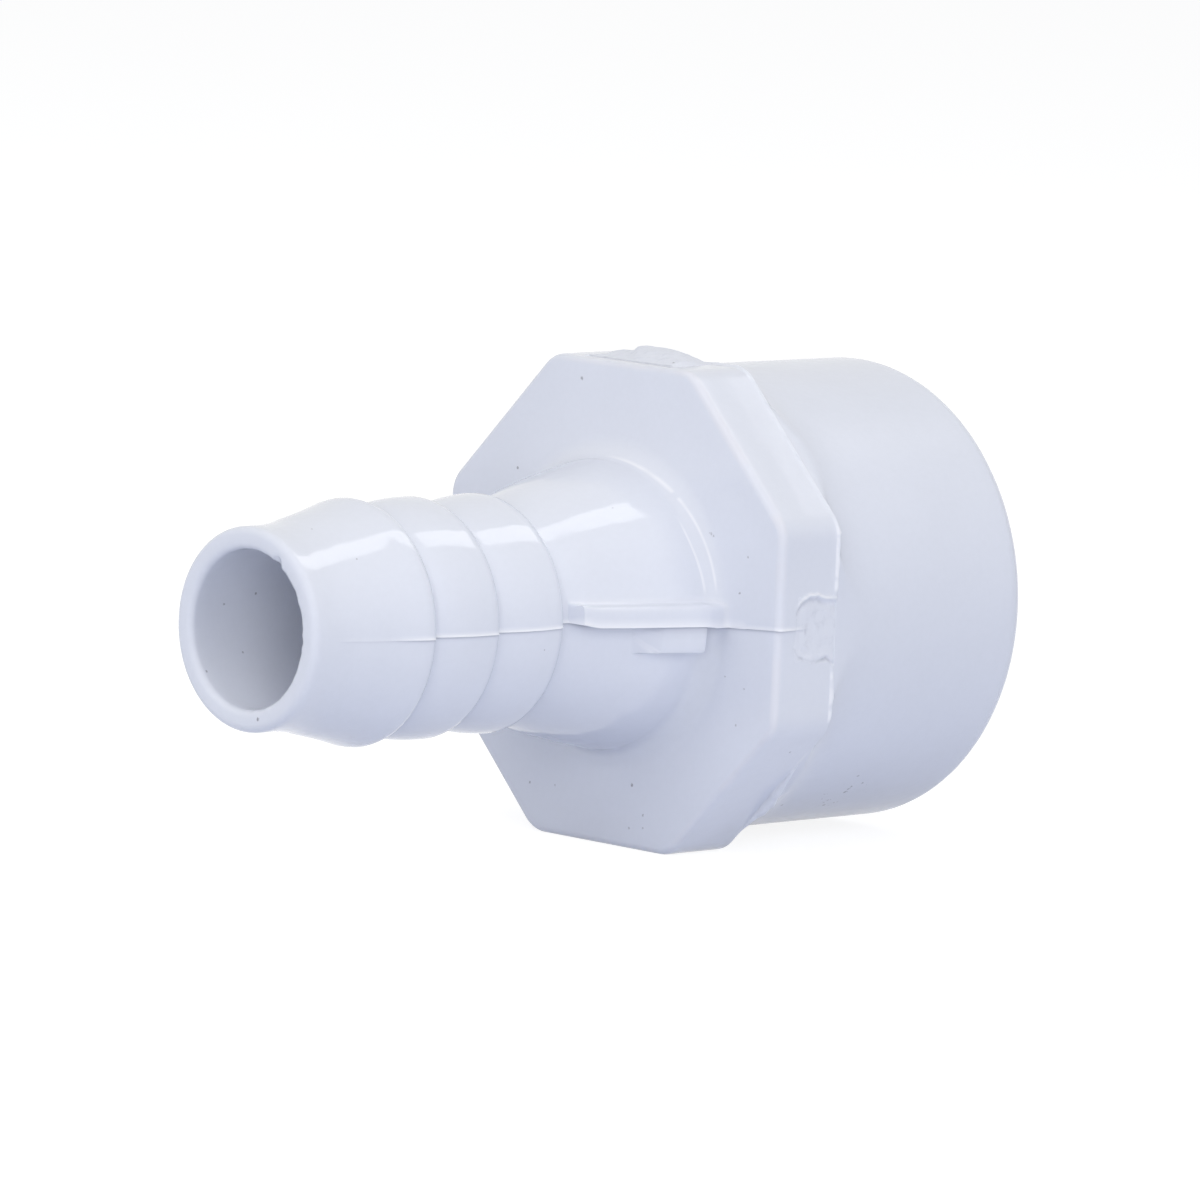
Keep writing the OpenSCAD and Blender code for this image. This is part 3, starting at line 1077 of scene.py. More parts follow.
@dataclass(frozen=True)
class MouldMarks:
    """What the side gate, the flash and the trimming left on the body.

    The lip and the sill are the torn patch's upper and lower edges, as height along
    the flange. Fin is the height of the flash on the flange's back edge, by degrees
    round the octagon from the plain side over the top.
    """

    flange: FlangeSizes = field(default_factory=FlangeSizes)
    lip: tuple[Point, ...] = (
        (31.6, 1.2), (31.77, 1.44), (32.2, 1.8), (32.68, 2.0), (33.37, 2.02), (33.91, 1.81),
        (35.2, 1.69),
    )
    sill: tuple[Point, ...] = (
        (31.6, -1.2), (32.07, -1.73), (33.13, -2.04), (34.17, -1.97), (34.42, -1.87),
        (34.89, -2.2), (35.2, -2.25),
    )
    reach: float = 14.64
    fin: tuple[Point, ...] = (
        (0.0, 0.0), (98.0, 0.0), (103.0, 0.12), (112.0, 0.12), (117.0, 0.05), (152.0, 0.05),
        (160.0, 0.12), (171.0, 0.12), (173.0, 0.0), (188.5, 0.0), (190.5, 0.08), (200.0, 0.08),
        (202.0, 0.0), (215.0, 0.0), (218.0, 0.12), (224.0, 0.5), (229.0, 0.6), (233.0, 0.45),
        (236.5, 0.2), (239.5, 0.05), (241.5, 0.0), (360.0, 0.0),
    )
    nick: Point = (-2.48, 4.24)
    seed: int = 11

    def work(self, mesh: bpy.types.Mesh) -> None:
        """Works the marks into a mesh.

        Args:
            mesh: The body, in metres.
        """
        spots = np.empty(len(mesh.vertices) * 3)
        mesh.vertices.foreach_get("co", spots)
        spots = spots.reshape(-1, 3) / MM - (TIP_X, 0.0, 0.0)
        # Stores the torn patch's painted light and shade for the material.
        tones = mesh.attributes.new("scar_light_and_shade", "FLOAT", "POINT")
        tones.data.foreach_set("value", self.scar_light_and_shade(spots).astype(np.float32))
        for mark in (self.tear, self.raise_fin, self.fray):
            spots = mark(spots)
        mesh.vertices.foreach_set("co", ((spots + (TIP_X, 0.0, 0.0)) * MM).ravel())
        mesh.update()

    def by_gate(self, y: np.ndarray) -> np.ndarray:
        """Tells which vertices lie on the flat with the side gate."""
        return y < 0.25 - self.flange.half_w

    def edges(self, x: np.ndarray) -> tuple[np.ndarray, np.ndarray, Lumps]:
        """Gives the torn patch's upper and lower edges.

        Args:
            x: Places along the fitting, in millimetres from the tip.

        Returns:
            The lip's height, the sill's height and the fine lumps they share.
        """
        grit = Lumps(self.seed + 1, 0.22)
        lip = np.interp(x, *zip(*self.lip)) + 0.05 * grit(x, 0 * x)
        return lip, np.interp(x, *zip(*self.sill)) + 0.06 * grit(x, 0 * x + 3.0), grit

    def scar_light_and_shade(self, spots: np.ndarray) -> np.ndarray:
        """Paints light and shade on the torn patch: painted highlights on the lip and above the
        sill, painted shadow under the lip and along the sill, and a dark tick across it.

        Args:
            spots: The vertices, in millimetres from the tip.

        Returns:
            A value for each vertex, above 0 where lighter and below 0 where darker.
        """
        x, y, z = spots.T
        lip, sill, grit = self.edges(x)
        here = smooth_step(x, 31.45, 31.8) * self.by_gate(y) * (x < self.flange.back - 0.05)
        # Painted highlight on top of the lip, and a fainter painted highlight above the sill.
        light = 0.95 * np.exp(-(((z - lip - 0.06) / 0.1) ** 2)) * smooth_step(x, 34.9, 34.2)
        light += 0.35 * np.exp(-(((z - sill - 0.3) / 0.22) ** 2)) * (0.6 + 0.8 * grit(x, z))
        # Painted shadow under the lip and along the sill, and a dark tick across the patch.
        dark = 0.5 * np.exp(-(((z - lip + 0.28) / 0.14) ** 2)) * smooth_step(x, 34.3, 33.4)
        patches = smooth_step(grit(x, 0 * x + 9.0), -0.25, 0.35) * 0.6 + 0.25
        patches = np.maximum(patches, smooth_step(x, 33.7, 34.2))
        dark += 0.75 * patches * np.exp(-(((z - sill) / 0.1) ** 2)) * smooth_step(x, 34.95, 34.7)
        tick = np.exp(-(((x - 32.55 - 0.1 * z) / 0.08) ** 2))
        tick = tick * smooth_step(np.abs(z + 0.02), 0.42, 0.2)
        dark += 0.6 * tick
        return np.clip((light - dark) * here, -1.0, 1.0)

    def tear(self, spots: np.ndarray) -> np.ndarray:
        """Tears the side gate's patch into the flat.

        Args:
            spots: The vertices, in millimetres from the tip.

        Returns:
            The moved vertices.
        """
        x, y, z = spots.T
        lumps = Lumps(self.seed, 0.55)
        lip, sill, grit = self.edges(x)
        on = self.by_gate(y) & (x > 31.3) & (x < self.flange.back + 0.01) & (np.abs(z) < 2.45)
        here = smooth_step(x, 31.55, 31.95)
        inside = smooth_step(z, lip, lip - 0.3) * smooth_step(z, sill, sill + 0.3)
        out = inside * (-0.03 + 0.03 * lumps(x, z) + 0.012 * grit(x, z))
        out += 0.11 * np.exp(-(((z - lip) / 0.12) ** 2))
        out -= 0.1 * np.exp(-(((z - lip + 0.33) / 0.17) ** 2))
        deep = 0.07 + 0.08 * smooth_step(x, 33.6, 34.5)
        out -= deep * (0.7 + 0.5 * grit(x, 0 * x + 9.0)) * np.exp(-(((z - sill) / 0.1) ** 2))
        y = np.where(on, np.maximum(y - out * here, -self.reach), y)
        return np.stack([x, y, z], axis=1)

    def raise_fin(self, spots: np.ndarray) -> np.ndarray:
        """Raises the thin flash along the flange's back edge.

        Args:
            spots: The vertices, in millimetres from the tip.

        Returns:
            The moved vertices.
        """
        f = self.flange
        x, y, z = spots.T
        wide, high = np.abs(y) / f.half_w, np.abs(z) / f.half_h
        slant = (wide + high) / (1 + math.tan(math.radians(22.5)))
        outline = np.maximum(np.maximum(wide, high), slant)
        turn = np.degrees(np.arctan2(z / f.half_h, y / f.half_w)) % 360.0
        lumps = Lumps(self.seed + 2, 0.5)
        height = np.interp(turn, *zip(*self.fin)) * (1.0 + 0.2 * lumps(turn * 0.25, 0 * turn))
        soft = np.where(turn > 205.0, 0.02, 0.18 + 0.1 * lumps(turn * 0.25, 0 * turn + 5))
        thin = smooth_step(x, f.back - 0.1 - soft, f.back - 0.07)
        on = (outline > 0.985) & (x > f.back - 0.45) & (x < f.back + 0.001)
        side = slant >= np.maximum(wide, high)
        level = high >= np.maximum(wide, slant)
        way_y = np.where(side, np.sqrt(0.5), np.where(level, 0.0, 1.0)) * np.sign(y)
        way_z = np.where(side, np.sqrt(0.5), np.where(level, 1.0, 0.0)) * np.sign(z)
        lift = np.where(on, height * thin, 0.0)
        ragged = smooth_step(turn, 156.0, 160.0) * smooth_step(turn, 172.0, 170.0)
        ragged += smooth_step(turn, 189.0, 192.0) * smooth_step(turn, 201.0, 198.0)
        tooth = np.maximum(lumps(turn * 0.4, 0 * turn + 12.0) + 0.25, 0.0)
        x = x + np.where(on & (x > f.back - 0.08), 0.16 * tooth * ragged, 0.0)
        y = np.maximum(y + way_y * lift, np.minimum(y, -self.reach))
        z = z + way_z * lift
        return np.stack([x, y, z], axis=1)

    def fray(self, spots: np.ndarray) -> np.ndarray:
        """Frays the bore's edge at the tip and knocks a nick into it.

        Args:
            spots: The vertices, in millimetres from the tip.

        Returns:
            The moved vertices.
        """
        x, y, z = spots.T
        r = np.hypot(y, z)
        turn = np.degrees(np.arctan2(z, y)) % 360.0
        edge = (x < 0.6) & (r > 4.6) & (r < 5.35)
        grit = Lumps(self.seed + 3, 1.0)
        ragged = 0.35 + 0.65 * smooth_step(np.abs(turn - 160.0), 45.0, 20.0)
        wave = 0.045 * grit(turn * 0.22, 0 * turn) * ragged
        bite = 0.2 * smooth_step(np.hypot(y - self.nick[0], z - self.nick[1]), 0.55, 0.1)
        push = np.where(edge, (wave + bite) * smooth_step(x, 0.6, 0.1), 0.0)
        grow = 1.0 + push / np.maximum(r, 1.0)
        frayed = 0.02 * (1 + grit(turn * 0.3, 0 * turn + 7)) * ragged
        sink = np.where(edge, 0.5 * bite + frayed, 0.0)
        return np.stack([x + sink * smooth_step(x, 0.5, 0.0), y * grow, z * grow], axis=1)


@dataclass(frozen=True)
class GateStub:
    """The torn stub of the gate on the flange's highest flat.

    Ridge is its height across the flange, and swell is its share along the flange.
    """

    flange: FlangeSizes = field(default_factory=FlangeSizes)
    ridge: tuple[Point, ...] = (
        (-4.3, 0.08), (-3.6, 0.3), (-2.9, 0.56), (-2.1, 0.74), (-0.9, 0.81), (0.2, 0.83),
        (0.9, 0.83), (1.3, 0.74), (1.7, 0.42), (2.15, 0.29), (2.8, 0.36), (3.3, 0.33), (3.8, 0.16),
        (4.3, 0.0),
    )
    swell: tuple[Point, ...] = (
        (30.74, 0.0), (30.9, 0.16), (31.5, 0.52), (32.3, 0.82), (33.1, 1.0), (34.1, 0.97),
        (34.8, 0.8), (35.06, 0.0),
    )
    skew: float = 0.8
    skin: float = 0.1
    root: float = 0.3
    seed: int = 23

    def build(self, material: bpy.types.Material) -> bpy.types.Object:
        """Builds the stub as a closed lump sunk into the flat.

        Args:
            material: The finish.

        Returns:
            The finished piece.
        """
        xs = np.linspace(self.swell[0][0], self.swell[-1][0], 48)
        ys = np.linspace(self.ridge[0][0], self.ridge[-1][0], 92)
        gx, gy = np.meshgrid(xs, ys, indexing="ij")
        lumps, grit = Lumps(self.seed, 0.9), Lumps(self.seed + 1, 0.3)
        drift = 0.12 * lumps(gx, gy)
        skewed = gy - self.skew * (gx - 33.0) + drift
        height = 0.97 * np.interp(skewed, *zip(*self.ridge))
        height = height * np.interp(gx + drift, *zip(*self.swell))
        torn_out = smooth_step(gy, -4.15 + 0.14 * (gx - 30.75), -3.7 + 0.14 * (gx - 30.75))
        torn_out *= smooth_step(gy, 4.2, 3.4)
        skin = self.skin * torn_out * smooth_step(gx, 30.74, 30.86) * smooth_step(gx, 35.06, 34.95)
        height = np.maximum(height * torn_out, skin)
        height += (0.035 * lumps(gx + 4, gy) + 0.02 * grit(gx, gy)) * smooth_step(height, 0.02, 0.2)
        height = np.minimum(height, 0.8) - 0.06 * smooth_step(height, 0.15, 0.5) - 0.03
        top = np.stack([gx, gy, self.flange.half_h + height], axis=-1).reshape(-1, 3)
        low = np.stack([gx, gy, 0 * gx + self.flange.half_h - self.root], axis=-1).reshape(-1, 3)
        work = bmesh.new()
        up = [work.verts.new(p) for p in (top + (TIP_X, 0, 0)) * MM]
        down = [work.verts.new(p) for p in (low + (TIP_X, 0, 0)) * MM]
        n, m = gx.shape
        for i in range(n - 1):
            for j in range(m - 1):
                a, b, c, e = i * m + j, (i + 1) * m + j, (i + 1) * m + j + 1, i * m + j + 1
                work.faces.new([up[k] for k in (a, b, c, e)])
                work.faces.new([down[k] for k in (e, c, b, a)])
        rim = [i * m for i in range(n)] + [(n - 1) * m + j for j in range(1, m)]
        rim += [i * m + m - 1 for i in range(n - 2, -1, -1)] + list(range(m - 2, 0, -1))
        for a, b in zip(rim, rim[1:] + rim[:1]):
            work.faces.new([up[a], down[a], down[b], up[b]])
        bmesh.ops.recalc_face_normals(work, faces=work.faces)
        mesh = bpy.data.meshes.new("top_gate_stub")
        open_edges = sum(1 for e in work.edges if not e.is_manifold)
        work.to_mesh(mesh)
        work.free()
        mesh.materials.append(material)
        mesh.shade_smooth()
        mesh.set_sharp_from_angle(angle=math.radians(50))
        stub = bpy.data.objects.new("top_gate_stub", mesh)
        bpy.context.scene.collection.objects.link(stub)
        LOG.info("gate stub: %d faces, %d open edges", len(mesh.polygons), open_edges)
        return stub


@dataclass
class MouldedBody:
    """The whole fitting as one moulding."""

    tail: TailSizes = field(default_factory=TailSizes)
    shoulder: ShoulderSizes = field(default_factory=ShoulderSizes)
    flange: FlangeSizes = field(default_factory=FlangeSizes)
    socket: SocketSizes = field(default_factory=SocketSizes)
    rib: RibSizes = field(default_factory=RibSizes)
    parting: PartingSizes = field(default_factory=PartingSizes)
    ripple: float = 0.02
    ripple_size: float = 2.2
    seed: int = 5

    def build(self, material: bpy.types.Material) -> bpy.types.Object:
        """Sweeps the body and works the mould's marks into it.

        Args:
            material: The finish.

        Returns:
            The finished piece.
        """
        rings = RingPlan(
            self.tail, self.shoulder, self.flange, self.socket, self.rib, self.parting
        ).rings()
        lines = ColumnPlan(self.flange).columns()
        stations = cloud("stations", [(s.along, s.r, 0) for s in rings], {
            "shape": [(s.square, s.inset, s.wave) for s in rings],
            "rib": [s.rib for s in rings],
            "lug": [s.lug for s in rings],
            "mould": [(s.step, s.flash, s.outside) for s in rings],
            "limit": [(s.held_in, 0, 0) for s in rings],
        })
        columns = cloud("columns", [(0, *c.spot) for c in lines], {
            "facing": [(*c.facing, float(c.level)) for c in lines],
            "height": [(c.plain, c.on_rib, c.sway) for c in lines],
            "share": [(c.rib_share, c.lug_share, c.upper) for c in lines],
            "tone": [(c.seam_shade, c.glow, c.lug_edge_highlight) for c in lines],
            "edge": [
                (c.flash, c.last_level, math.atan2(c.last_level, self.flange.half_w)) for c in lines
            ],
        })
        sweep = BodySweep()
        modifier = stations.modifiers.new("sweep", "NODES")
        modifier.node_group = sweep.tree
        for name, value in {
            "Columns": columns, "Station Count": len(rings), "Column Count": len(lines),
            "Step Back": self.parting.step_x, "Step Out": self.parting.step_y,
            "Ripple": self.ripple, "Ripple Size": self.ripple_size, "Seed": self.seed,
            "Material": material,
        }.items():
            modifier[sweep.ids[name]] = value
        graph = bpy.context.evaluated_depsgraph_get()
        mesh = bpy.data.meshes.new_from_object(stations.evaluated_get(graph), depsgraph=graph)
        mesh.name = "moulded_body"
        bpy.data.objects.remove(stations)
        bpy.data.objects.remove(columns)
        body = bpy.data.objects.new("moulded_body", mesh)
        bpy.context.scene.collection.objects.link(body)
        mesh.materials.clear()
        mesh.materials.append(material)
        mesh.polygons.foreach_set("material_index", np.zeros(len(mesh.polygons), dtype=np.int32))
        self.close(mesh)
        MouldMarks(flange=self.flange).work(mesh)
        LOG.info("moulded body: %d rings of %d columns, %d faces",
                 len(rings), len(lines), len(mesh.polygons))
        return body

    def close(self, mesh: bpy.types.Mesh) -> None:
        """Welds the seams, turns the faces outwards and sets the shading.

        Args:
            mesh: The swept mesh.
        """
        work = bmesh.new()
        work.from_mesh(mesh)
        bmesh.ops.remove_doubles(work, verts=work.verts, dist=WELD)
        bmesh.ops.dissolve_degenerate(work, edges=work.edges, dist=WELD / 2)
        bmesh.ops.recalc_face_normals(work, faces=work.faces)
        if work.calc_volume(signed=True) < 0:
            bmesh.ops.reverse_faces(work, faces=work.faces)
        open_edges = sum(1 for e in work.edges if not e.is_manifold)
        work.to_mesh(mesh)
        work.free()
        mesh.shade_smooth()
        mesh.set_sharp_from_angle(angle=math.radians(38))
        LOG.info("open edges: %d", open_edges)


# Finishes


@dataclass(frozen=True)
class Speck:
    """A dark dot in the skin, placed in millimetres from the tip."""

    place: Spot
    size: float = 0.11
    depth: float = 0.6


SPECKS = (
    Speck((3.38, -1.81, 6.06), 0.1), Speck((4.38, -4.72, 4.51), 0.09, 0.4),
    Speck((9.59, -6.2, 2.16), 0.08, 0.35), Speck((11.38, -6.83, 1.72), 0.08, 0.35),
    Speck((25.23, -4.89, 6.66), 0.12, 0.5), Speck((17.39, -6.62, 2.76), 0.08, 0.3),
    Speck((17.83, -7.11, -1.35), 0.09, 0.4), Speck((22.56, -4.54, -5.94), 0.11, 0.5),
    Speck((26.48, -3.26, -7.87), 0.11, 0.5), Speck((23.31, -7.4, -2.23), 0.1, 0.4),
    Speck((24.6, -1.7, -7.95), 0.13, 0.8), Speck((24.85, -1.62, -7.98), 0.12, 0.8),
    Speck((25.05, -1.6, -8.0), 0.09, 0.5), Speck((30.06, -8.6, 5.25), 0.12, 0.35),
    Speck((30.06, -8.78, 5.12), 0.1, 0.4), Speck((30.06, -8.45, 5.27), 0.1, 0.3),
    Speck((30.06, -11.72, 4.16), 0.1, 0.45), Speck((30.06, -11.19, 1.91), 0.11, 0.55),
    Speck((30.15, 6.19, -11.88), 0.12, 0.5), Speck((30.15, 3.98, -11.77), 0.1, 0.4),
    Speck((30.15, -2.69, -10.89), 0.13, 0.65), Speck((30.15, -3.76, -12.6), 0.12, 0.5),
    Speck((30.15, -2.61, -13.56), 0.1, 0.4), Speck((30.15, -3.81, -13.4), 0.1, 0.4),
    Speck((30.15, -11.29, -6.1), 0.1, 0.4), Speck((30.15, -11.82, -3.84), 0.09, 0.35),
    Speck((30.15, -10.18, -3.26), 0.09, 0.35), Speck((30.06, 3.13, 13.51), 0.14, 0.6),
    Speck((33.28, -12.9, -7.74), 0.12, 0.45), Speck((31.3, -3.5, 15.0), 0.16, 0.7),
    Speck((4.98, 4.54, 1.38), 0.12, 0.6), Speck((2.56, 4.67, 0.84), 0.1, 0.5),
    Speck((3.88, 4.27, -2.06), 0.1, 0.5), Speck((0.0, -1.47, -5.12), 0.14, 0.7),
    Speck((0.54, 3.72, -2.94), 0.12, 0.5), Speck((37.18, -5.55, 13.23), 0.1, 0.6),
    Speck((37.08, -5.76, 13.14), 0.1, 0.6), Speck((36.98, -5.97, 13.05), 0.1, 0.6),
    Speck((36.86, -6.18, 12.95), 0.1, 0.6), Speck((36.76, -6.4, 12.84), 0.1, 0.55),
    Speck((36.66, -6.62, 12.73), 0.1, 0.5), Speck((36.56, -6.2, 12.94), 0.09, 0.4),
    Speck((37.94, -7.96, -11.94), 0.13, 0.45), Speck((42.33, -7.35, -12.32), 0.14, 0.55),
    Speck((41.96, -8.02, -11.9), 0.12, 0.4), Speck((42.64, -8.79, -11.34), 0.15, 0.6),
    Speck((42.62, -9.07, -11.12), 0.13, 0.55), Speck((42.67, -9.3, -10.95), 0.12, 0.5),
    Speck((42.3, -10.15, -10.15), 0.12, 0.4), Speck((43.39, -9.52, -10.74), 0.13, 0.5),
)


@dataclass(frozen=True)
class GlossyPvc:
    """Bluish white PVC, glossy as it left the mould, with what wear has left on it,
    and with highlights and shadows painted into its colour at the seam, the torn
    gate patch, the shoulder's foot and the gate stub's foot.

    Every length is in millimetres. The patterns are laid out in the fitting's own
    coordinates, measured from its tip.
    """

    colour: Rgba = srgb(229, 232, 241)
    # Pale and grey also serve as painted highlight and painted shadow.
    pale: Rgba = srgb(246, 247, 252)
    cream: Rgba = srgb(236, 232, 234)
    grey: Rgba = srgb(150, 152, 166)
    dirt: Rgba = srgb(72, 66, 74)
    roughness: float = 0.08
    ior: float = 1.5

    def material(self, name: str, torn: bool = False) -> bpy.types.Material:
        """Builds the material.

        Args:
            name: Name of the material.
            torn: Whether the surface is the stub's, torn off instead of moulded.

        Returns:
            The material.
        """
        made = bpy.data.materials.new(name)
        made.use_nodes = True
        tree = made.node_tree
        tree.nodes.clear()
        d = NodeDesk(tree)
        own = d.add("ShaderNodeTexCoord").outputs["Object"]
        place = d.vector("SUBTRACT", d.vector("SCALE", own, 1.0 / MM), (TIP_X, 0.0, 0.0))
        x, y, z = d.split(place)
        grain = self.noise(d, place, 2.6, 3.0)
        cloudy = self.noise(d, place, 0.16, 2.0)
        scar = d.math("MAXIMUM", self.scar(d, place, x, y, z), 1.0 if torn else 0.0)
        colour = self.tinted(d, place, x, y, z, grain, cloudy, scar)
        rough = d.math("MULTIPLY_ADD", d.math("SUBTRACT", cloudy, 0.5), 0.06, self.roughness)
        rough = d.math("ADD", rough, d.math("MULTIPLY", d.ramp(x, 30.08, 30.16), 0.12))
        rough = d.math("ADD", rough, d.math("MULTIPLY", scar, 0.22))
        shader = d.add("ShaderNodeBsdfPrincipled")
        shine = d.math("ADD", d.ramp(x, 30.1, 30.2, 0.5, 0.42), d.ramp(x, 35.0, 35.4, 0.0, -0.24))
        d.feed(shader, Specular__IOR__Level=shine)
        d.feed(shader, IOR=self.ior, Roughness=rough, Base__Color=colour,
               Normal=self.relief(d, place, scar))
        d.feed(d.add("ShaderNodeOutputMaterial"), Surface=shader.outputs[0])
        return made

    def noise(
        self, d: NodeDesk, place: object, scale: float, detail: float, shift: float = 0.0
    ) -> bpy.types.NodeSocket:
        """Gives smooth random values from 0 to 1.

        Args:
            d: The node tree.
            place: Where to look.
            scale: Features in a millimetre.
            detail: Number of finer layers.
            shift: A number that makes this noise unlike the others.

        Returns:
            The value.
        """
        moved = d.vector("ADD", place, (shift, 7.3 - shift, 2.1 * shift)) if shift else place
        node = d.add("ShaderNodeTexNoise")
        d.feed(node, Vector=moved, Scale=scale, Detail=detail, Roughness=0.55)
        return node.outputs[0]

    def over(self, d: NodeDesk, under: object, colour: object, share: object) -> object:
        """Lays one colour over another.

        Args:
            d: The node tree.
            under: The colour below.
            colour: The colour on top.
            share: How much the one on top covers, 0 to 1.

        Returns:
            The mixed colour.
        """
        node = d.add("ShaderNodeMix", data_type="RGBA", clamp_factor=True)
        return d.feed(node, _0=share, _6=under, _7=colour).outputs[2]

    def scar(self, d: NodeDesk, place: object, x: object, y: object, z: object) -> object:
        """Marks the side gate's torn patch.

        Args:
            d: The node tree.
            place: Where to look.
            x: Distance from the tip.
            y: Distance across.
            z: Height.

        Returns:
            1 on the patch and 0 off it.
        """
        wobble = d.math("SUBTRACT", self.noise(d, place, 1.3, 2.0, 3.0), 0.5)
        wobble = d.math("MULTIPLY", wobble, 0.8)
        high = d.ramp(d.math("ADD", d.math("ABSOLUTE", z), wobble), 2.2, 1.7)
        along = d.ramp(d.math("ADD", x, wobble), 31.5, 31.9)
        side = d.math("MULTIPLY", d.ramp(y, -14.1, -14.2), d.ramp(x, 35.3, 35.0))
        return d.math("MULTIPLY", d.math("MULTIPLY", high, along), side)

    def dots(self, d: NodeDesk, place: object) -> bpy.types.NodeSocket:
        """Marks the dark specks, ragged by a little noise.

        Args:
            d: The node tree.
            place: Where to look.

        Returns:
            How dark each place is, 0 to 1.
        """
        ragged = d.add("ShaderNodeTexNoise")
        d.feed(ragged, Vector=place, Scale=7.0, Detail=1.0)
        push = d.vector("SCALE", d.vector("SUBTRACT", ragged.outputs["Color"], (0.5,) * 3), 0.16)
        loose = d.vector("ADD", place, push)
        total: object = 0.0
        for speck in SPECKS:
            gap = d.vector("DISTANCE", loose, speck.place)
            dark = d.ramp(gap, speck.size, speck.size * 0.35, 0.0, 0.85 * speck.depth)
            total = d.math("MAXIMUM", total, dark)
        return total

    def tinted(
        self, d: NodeDesk, place: object, x: object, y: object, z: object, grain: object,
        cloudy: object, scar: object,
    ) -> object:
        """Gives the colour with its clouding, edges, stains, specks and scratches, and with
        highlights and shadows painted at the seam, the torn patch, the shoulder's foot
        and the gate stub's foot.

        Args:
            d: The node tree.
            place: Where to look.
            x: Distance from the tip.
            y: Distance across.
            z: Height.
            grain: Fine noise.
            cloudy: Broad noise.
            scar: 1 on the torn patch.

        Returns:
            The colour.
        """
        tone = d.math("MULTIPLY_ADD", d.math("SUBTRACT", cloudy, 0.5), 0.05, 1.0)
        tone = d.math("MULTIPLY_ADD", d.math("SUBTRACT", grain, 0.5), 0.035, tone)
        mottle = d.ramp(self.noise(d, place, 1.9, 4.0, 31.0), 0.15, 0.5)
        torn = self.over(d, self.grey, self.pale, mottle)
        # The seam's tints stored on the body: a pale line that is partly painted highlight, and
        # painted shadow.
        seam = d.add("ShaderNodeAttribute", attribute_name="seam_light").outputs["Fac"]
        seam_shade = d.add("ShaderNodeAttribute", attribute_name="seam_dark").outputs["Fac"]
        scar_light_and_shade = d.add("ShaderNodeAttribute", attribute_name="scar_light_and_shade").outputs["Fac"]
        out = self.octagon_share(d, y, z)
        colour = d.vector("SCALE", self.colour[:3], tone)
        for laid, share in (
            (self.cream, self.worn_rim(d, place, x, out)),
            # Painted shadow in the crease in front of the stub's foot.
            (self.grey, self.stub_foot_shadow(d, x, y, z)),
            (self.pale, self.rear_edge(d, place, x, z, out)),
            # The seam's pale line, partly whitened flash and partly painted highlight, then the
            # painted shadow under it.
            (self.pale, d.math("MULTIPLY", seam, 0.9)),
            (self.grey, d.math("MULTIPLY", seam_shade, 0.55)),
            # Painted highlight arcs round the shoulder's foot.
            (self.pale, self.painted_foot_highlights(d, place, x, y, z)),
            (torn, d.math("MULTIPLY", scar, 0.16)),
            # Painted highlight and painted shadow on the torn patch's edges.
            (self.pale, d.math("MULTIPLY", scar_light_and_shade, 0.9, clamp=True)),
            (self.grey, d.math("MULTIPLY", scar_light_and_shade, -0.5, clamp=True)),
            (self.dirt, self.scuffs(d, place, x, y)),
            (self.dirt, self.dots(d, place)),
        ):
            colour = self.over(d, colour, laid, share)
        return colour

    def octagon_share(self, d: NodeDesk, y: object, z: object) -> object:
        """Tells how far out on the flange's octagon a place is, 1 at its outline.

        Args:
            d: The node tree.
            y: Distance across.
            z: Height.

        Returns:
            The share.
        """
        f = FlangeSizes()
        wide = d.math("DIVIDE", d.math("ABSOLUTE", y), f.half_w)
        high = d.math("DIVIDE", d.math("ABSOLUTE", z), f.half_h)
        slant = d.math("DIVIDE", d.math("ADD", wide, high), 1.0 + math.tan(math.radians(22.5)))
        return d.math("MAXIMUM", d.math("MAXIMUM", wide, high), slant)

    def near(self, d: NodeDesk, value: object, at: object, out: float, whole: float) -> object:
        """Marks a band round one value.

        Args:
            d: The node tree.
            value: The value.
            at: The middle of the band.
            out: Distance from the middle where the mark is gone.
            whole: Distance from the middle where it is whole. It lies above out for a gap.

        Returns:
            How strong the mark is, 0 to 1.
        """
        return d.ramp(d.math("ABSOLUTE", d.math("SUBTRACT", value, at)), out, whole)

    def worn_rim(self, d: NodeDesk, place: object, x: object, out: object) -> object:
        """Marks the flange's front rim, unevenly worn.

        Args:
            d: The node tree.
            place: Where to look.
            x: Distance from the tip.
            out: How far out on the octagon it is.

        Returns:
            How worn each place is, 0 to 1.
        """
        rim = d.math("MULTIPLY", d.ramp(out, 0.965, 0.985),
                     self.near(d, x, FlangeSizes().front + 0.12, 0.4, 0.1))
        worn = d.ramp(self.noise(d, place, 0.35, 3.0, 11.0), 0.35, 0.65, 0.05, 0.28)
        return d.math("MULTIPLY", rim, worn)

    def stub_foot_shadow(self, d: NodeDesk, x: object, y: object, z: object) -> object:
        """Paints a faint shadow line in the crease in front of the gate stub's foot.

        Args:
            d: The node tree.
            x: Distance from the tip.
            y: Distance across.
            z: Height.

        Returns:
            How dark the painted shadow is at each place, 0 to 1.
        """
        foot = d.math("MULTIPLY", self.near(d, x, 30.8, 0.11, 0.04),
                      self.near(d, y, -0.35, 3.8, 3.4))
        foot = d.math("MULTIPLY", foot, d.ramp(z, 14.7, 14.8))
        return d.math("MULTIPLY", foot, 0.35)

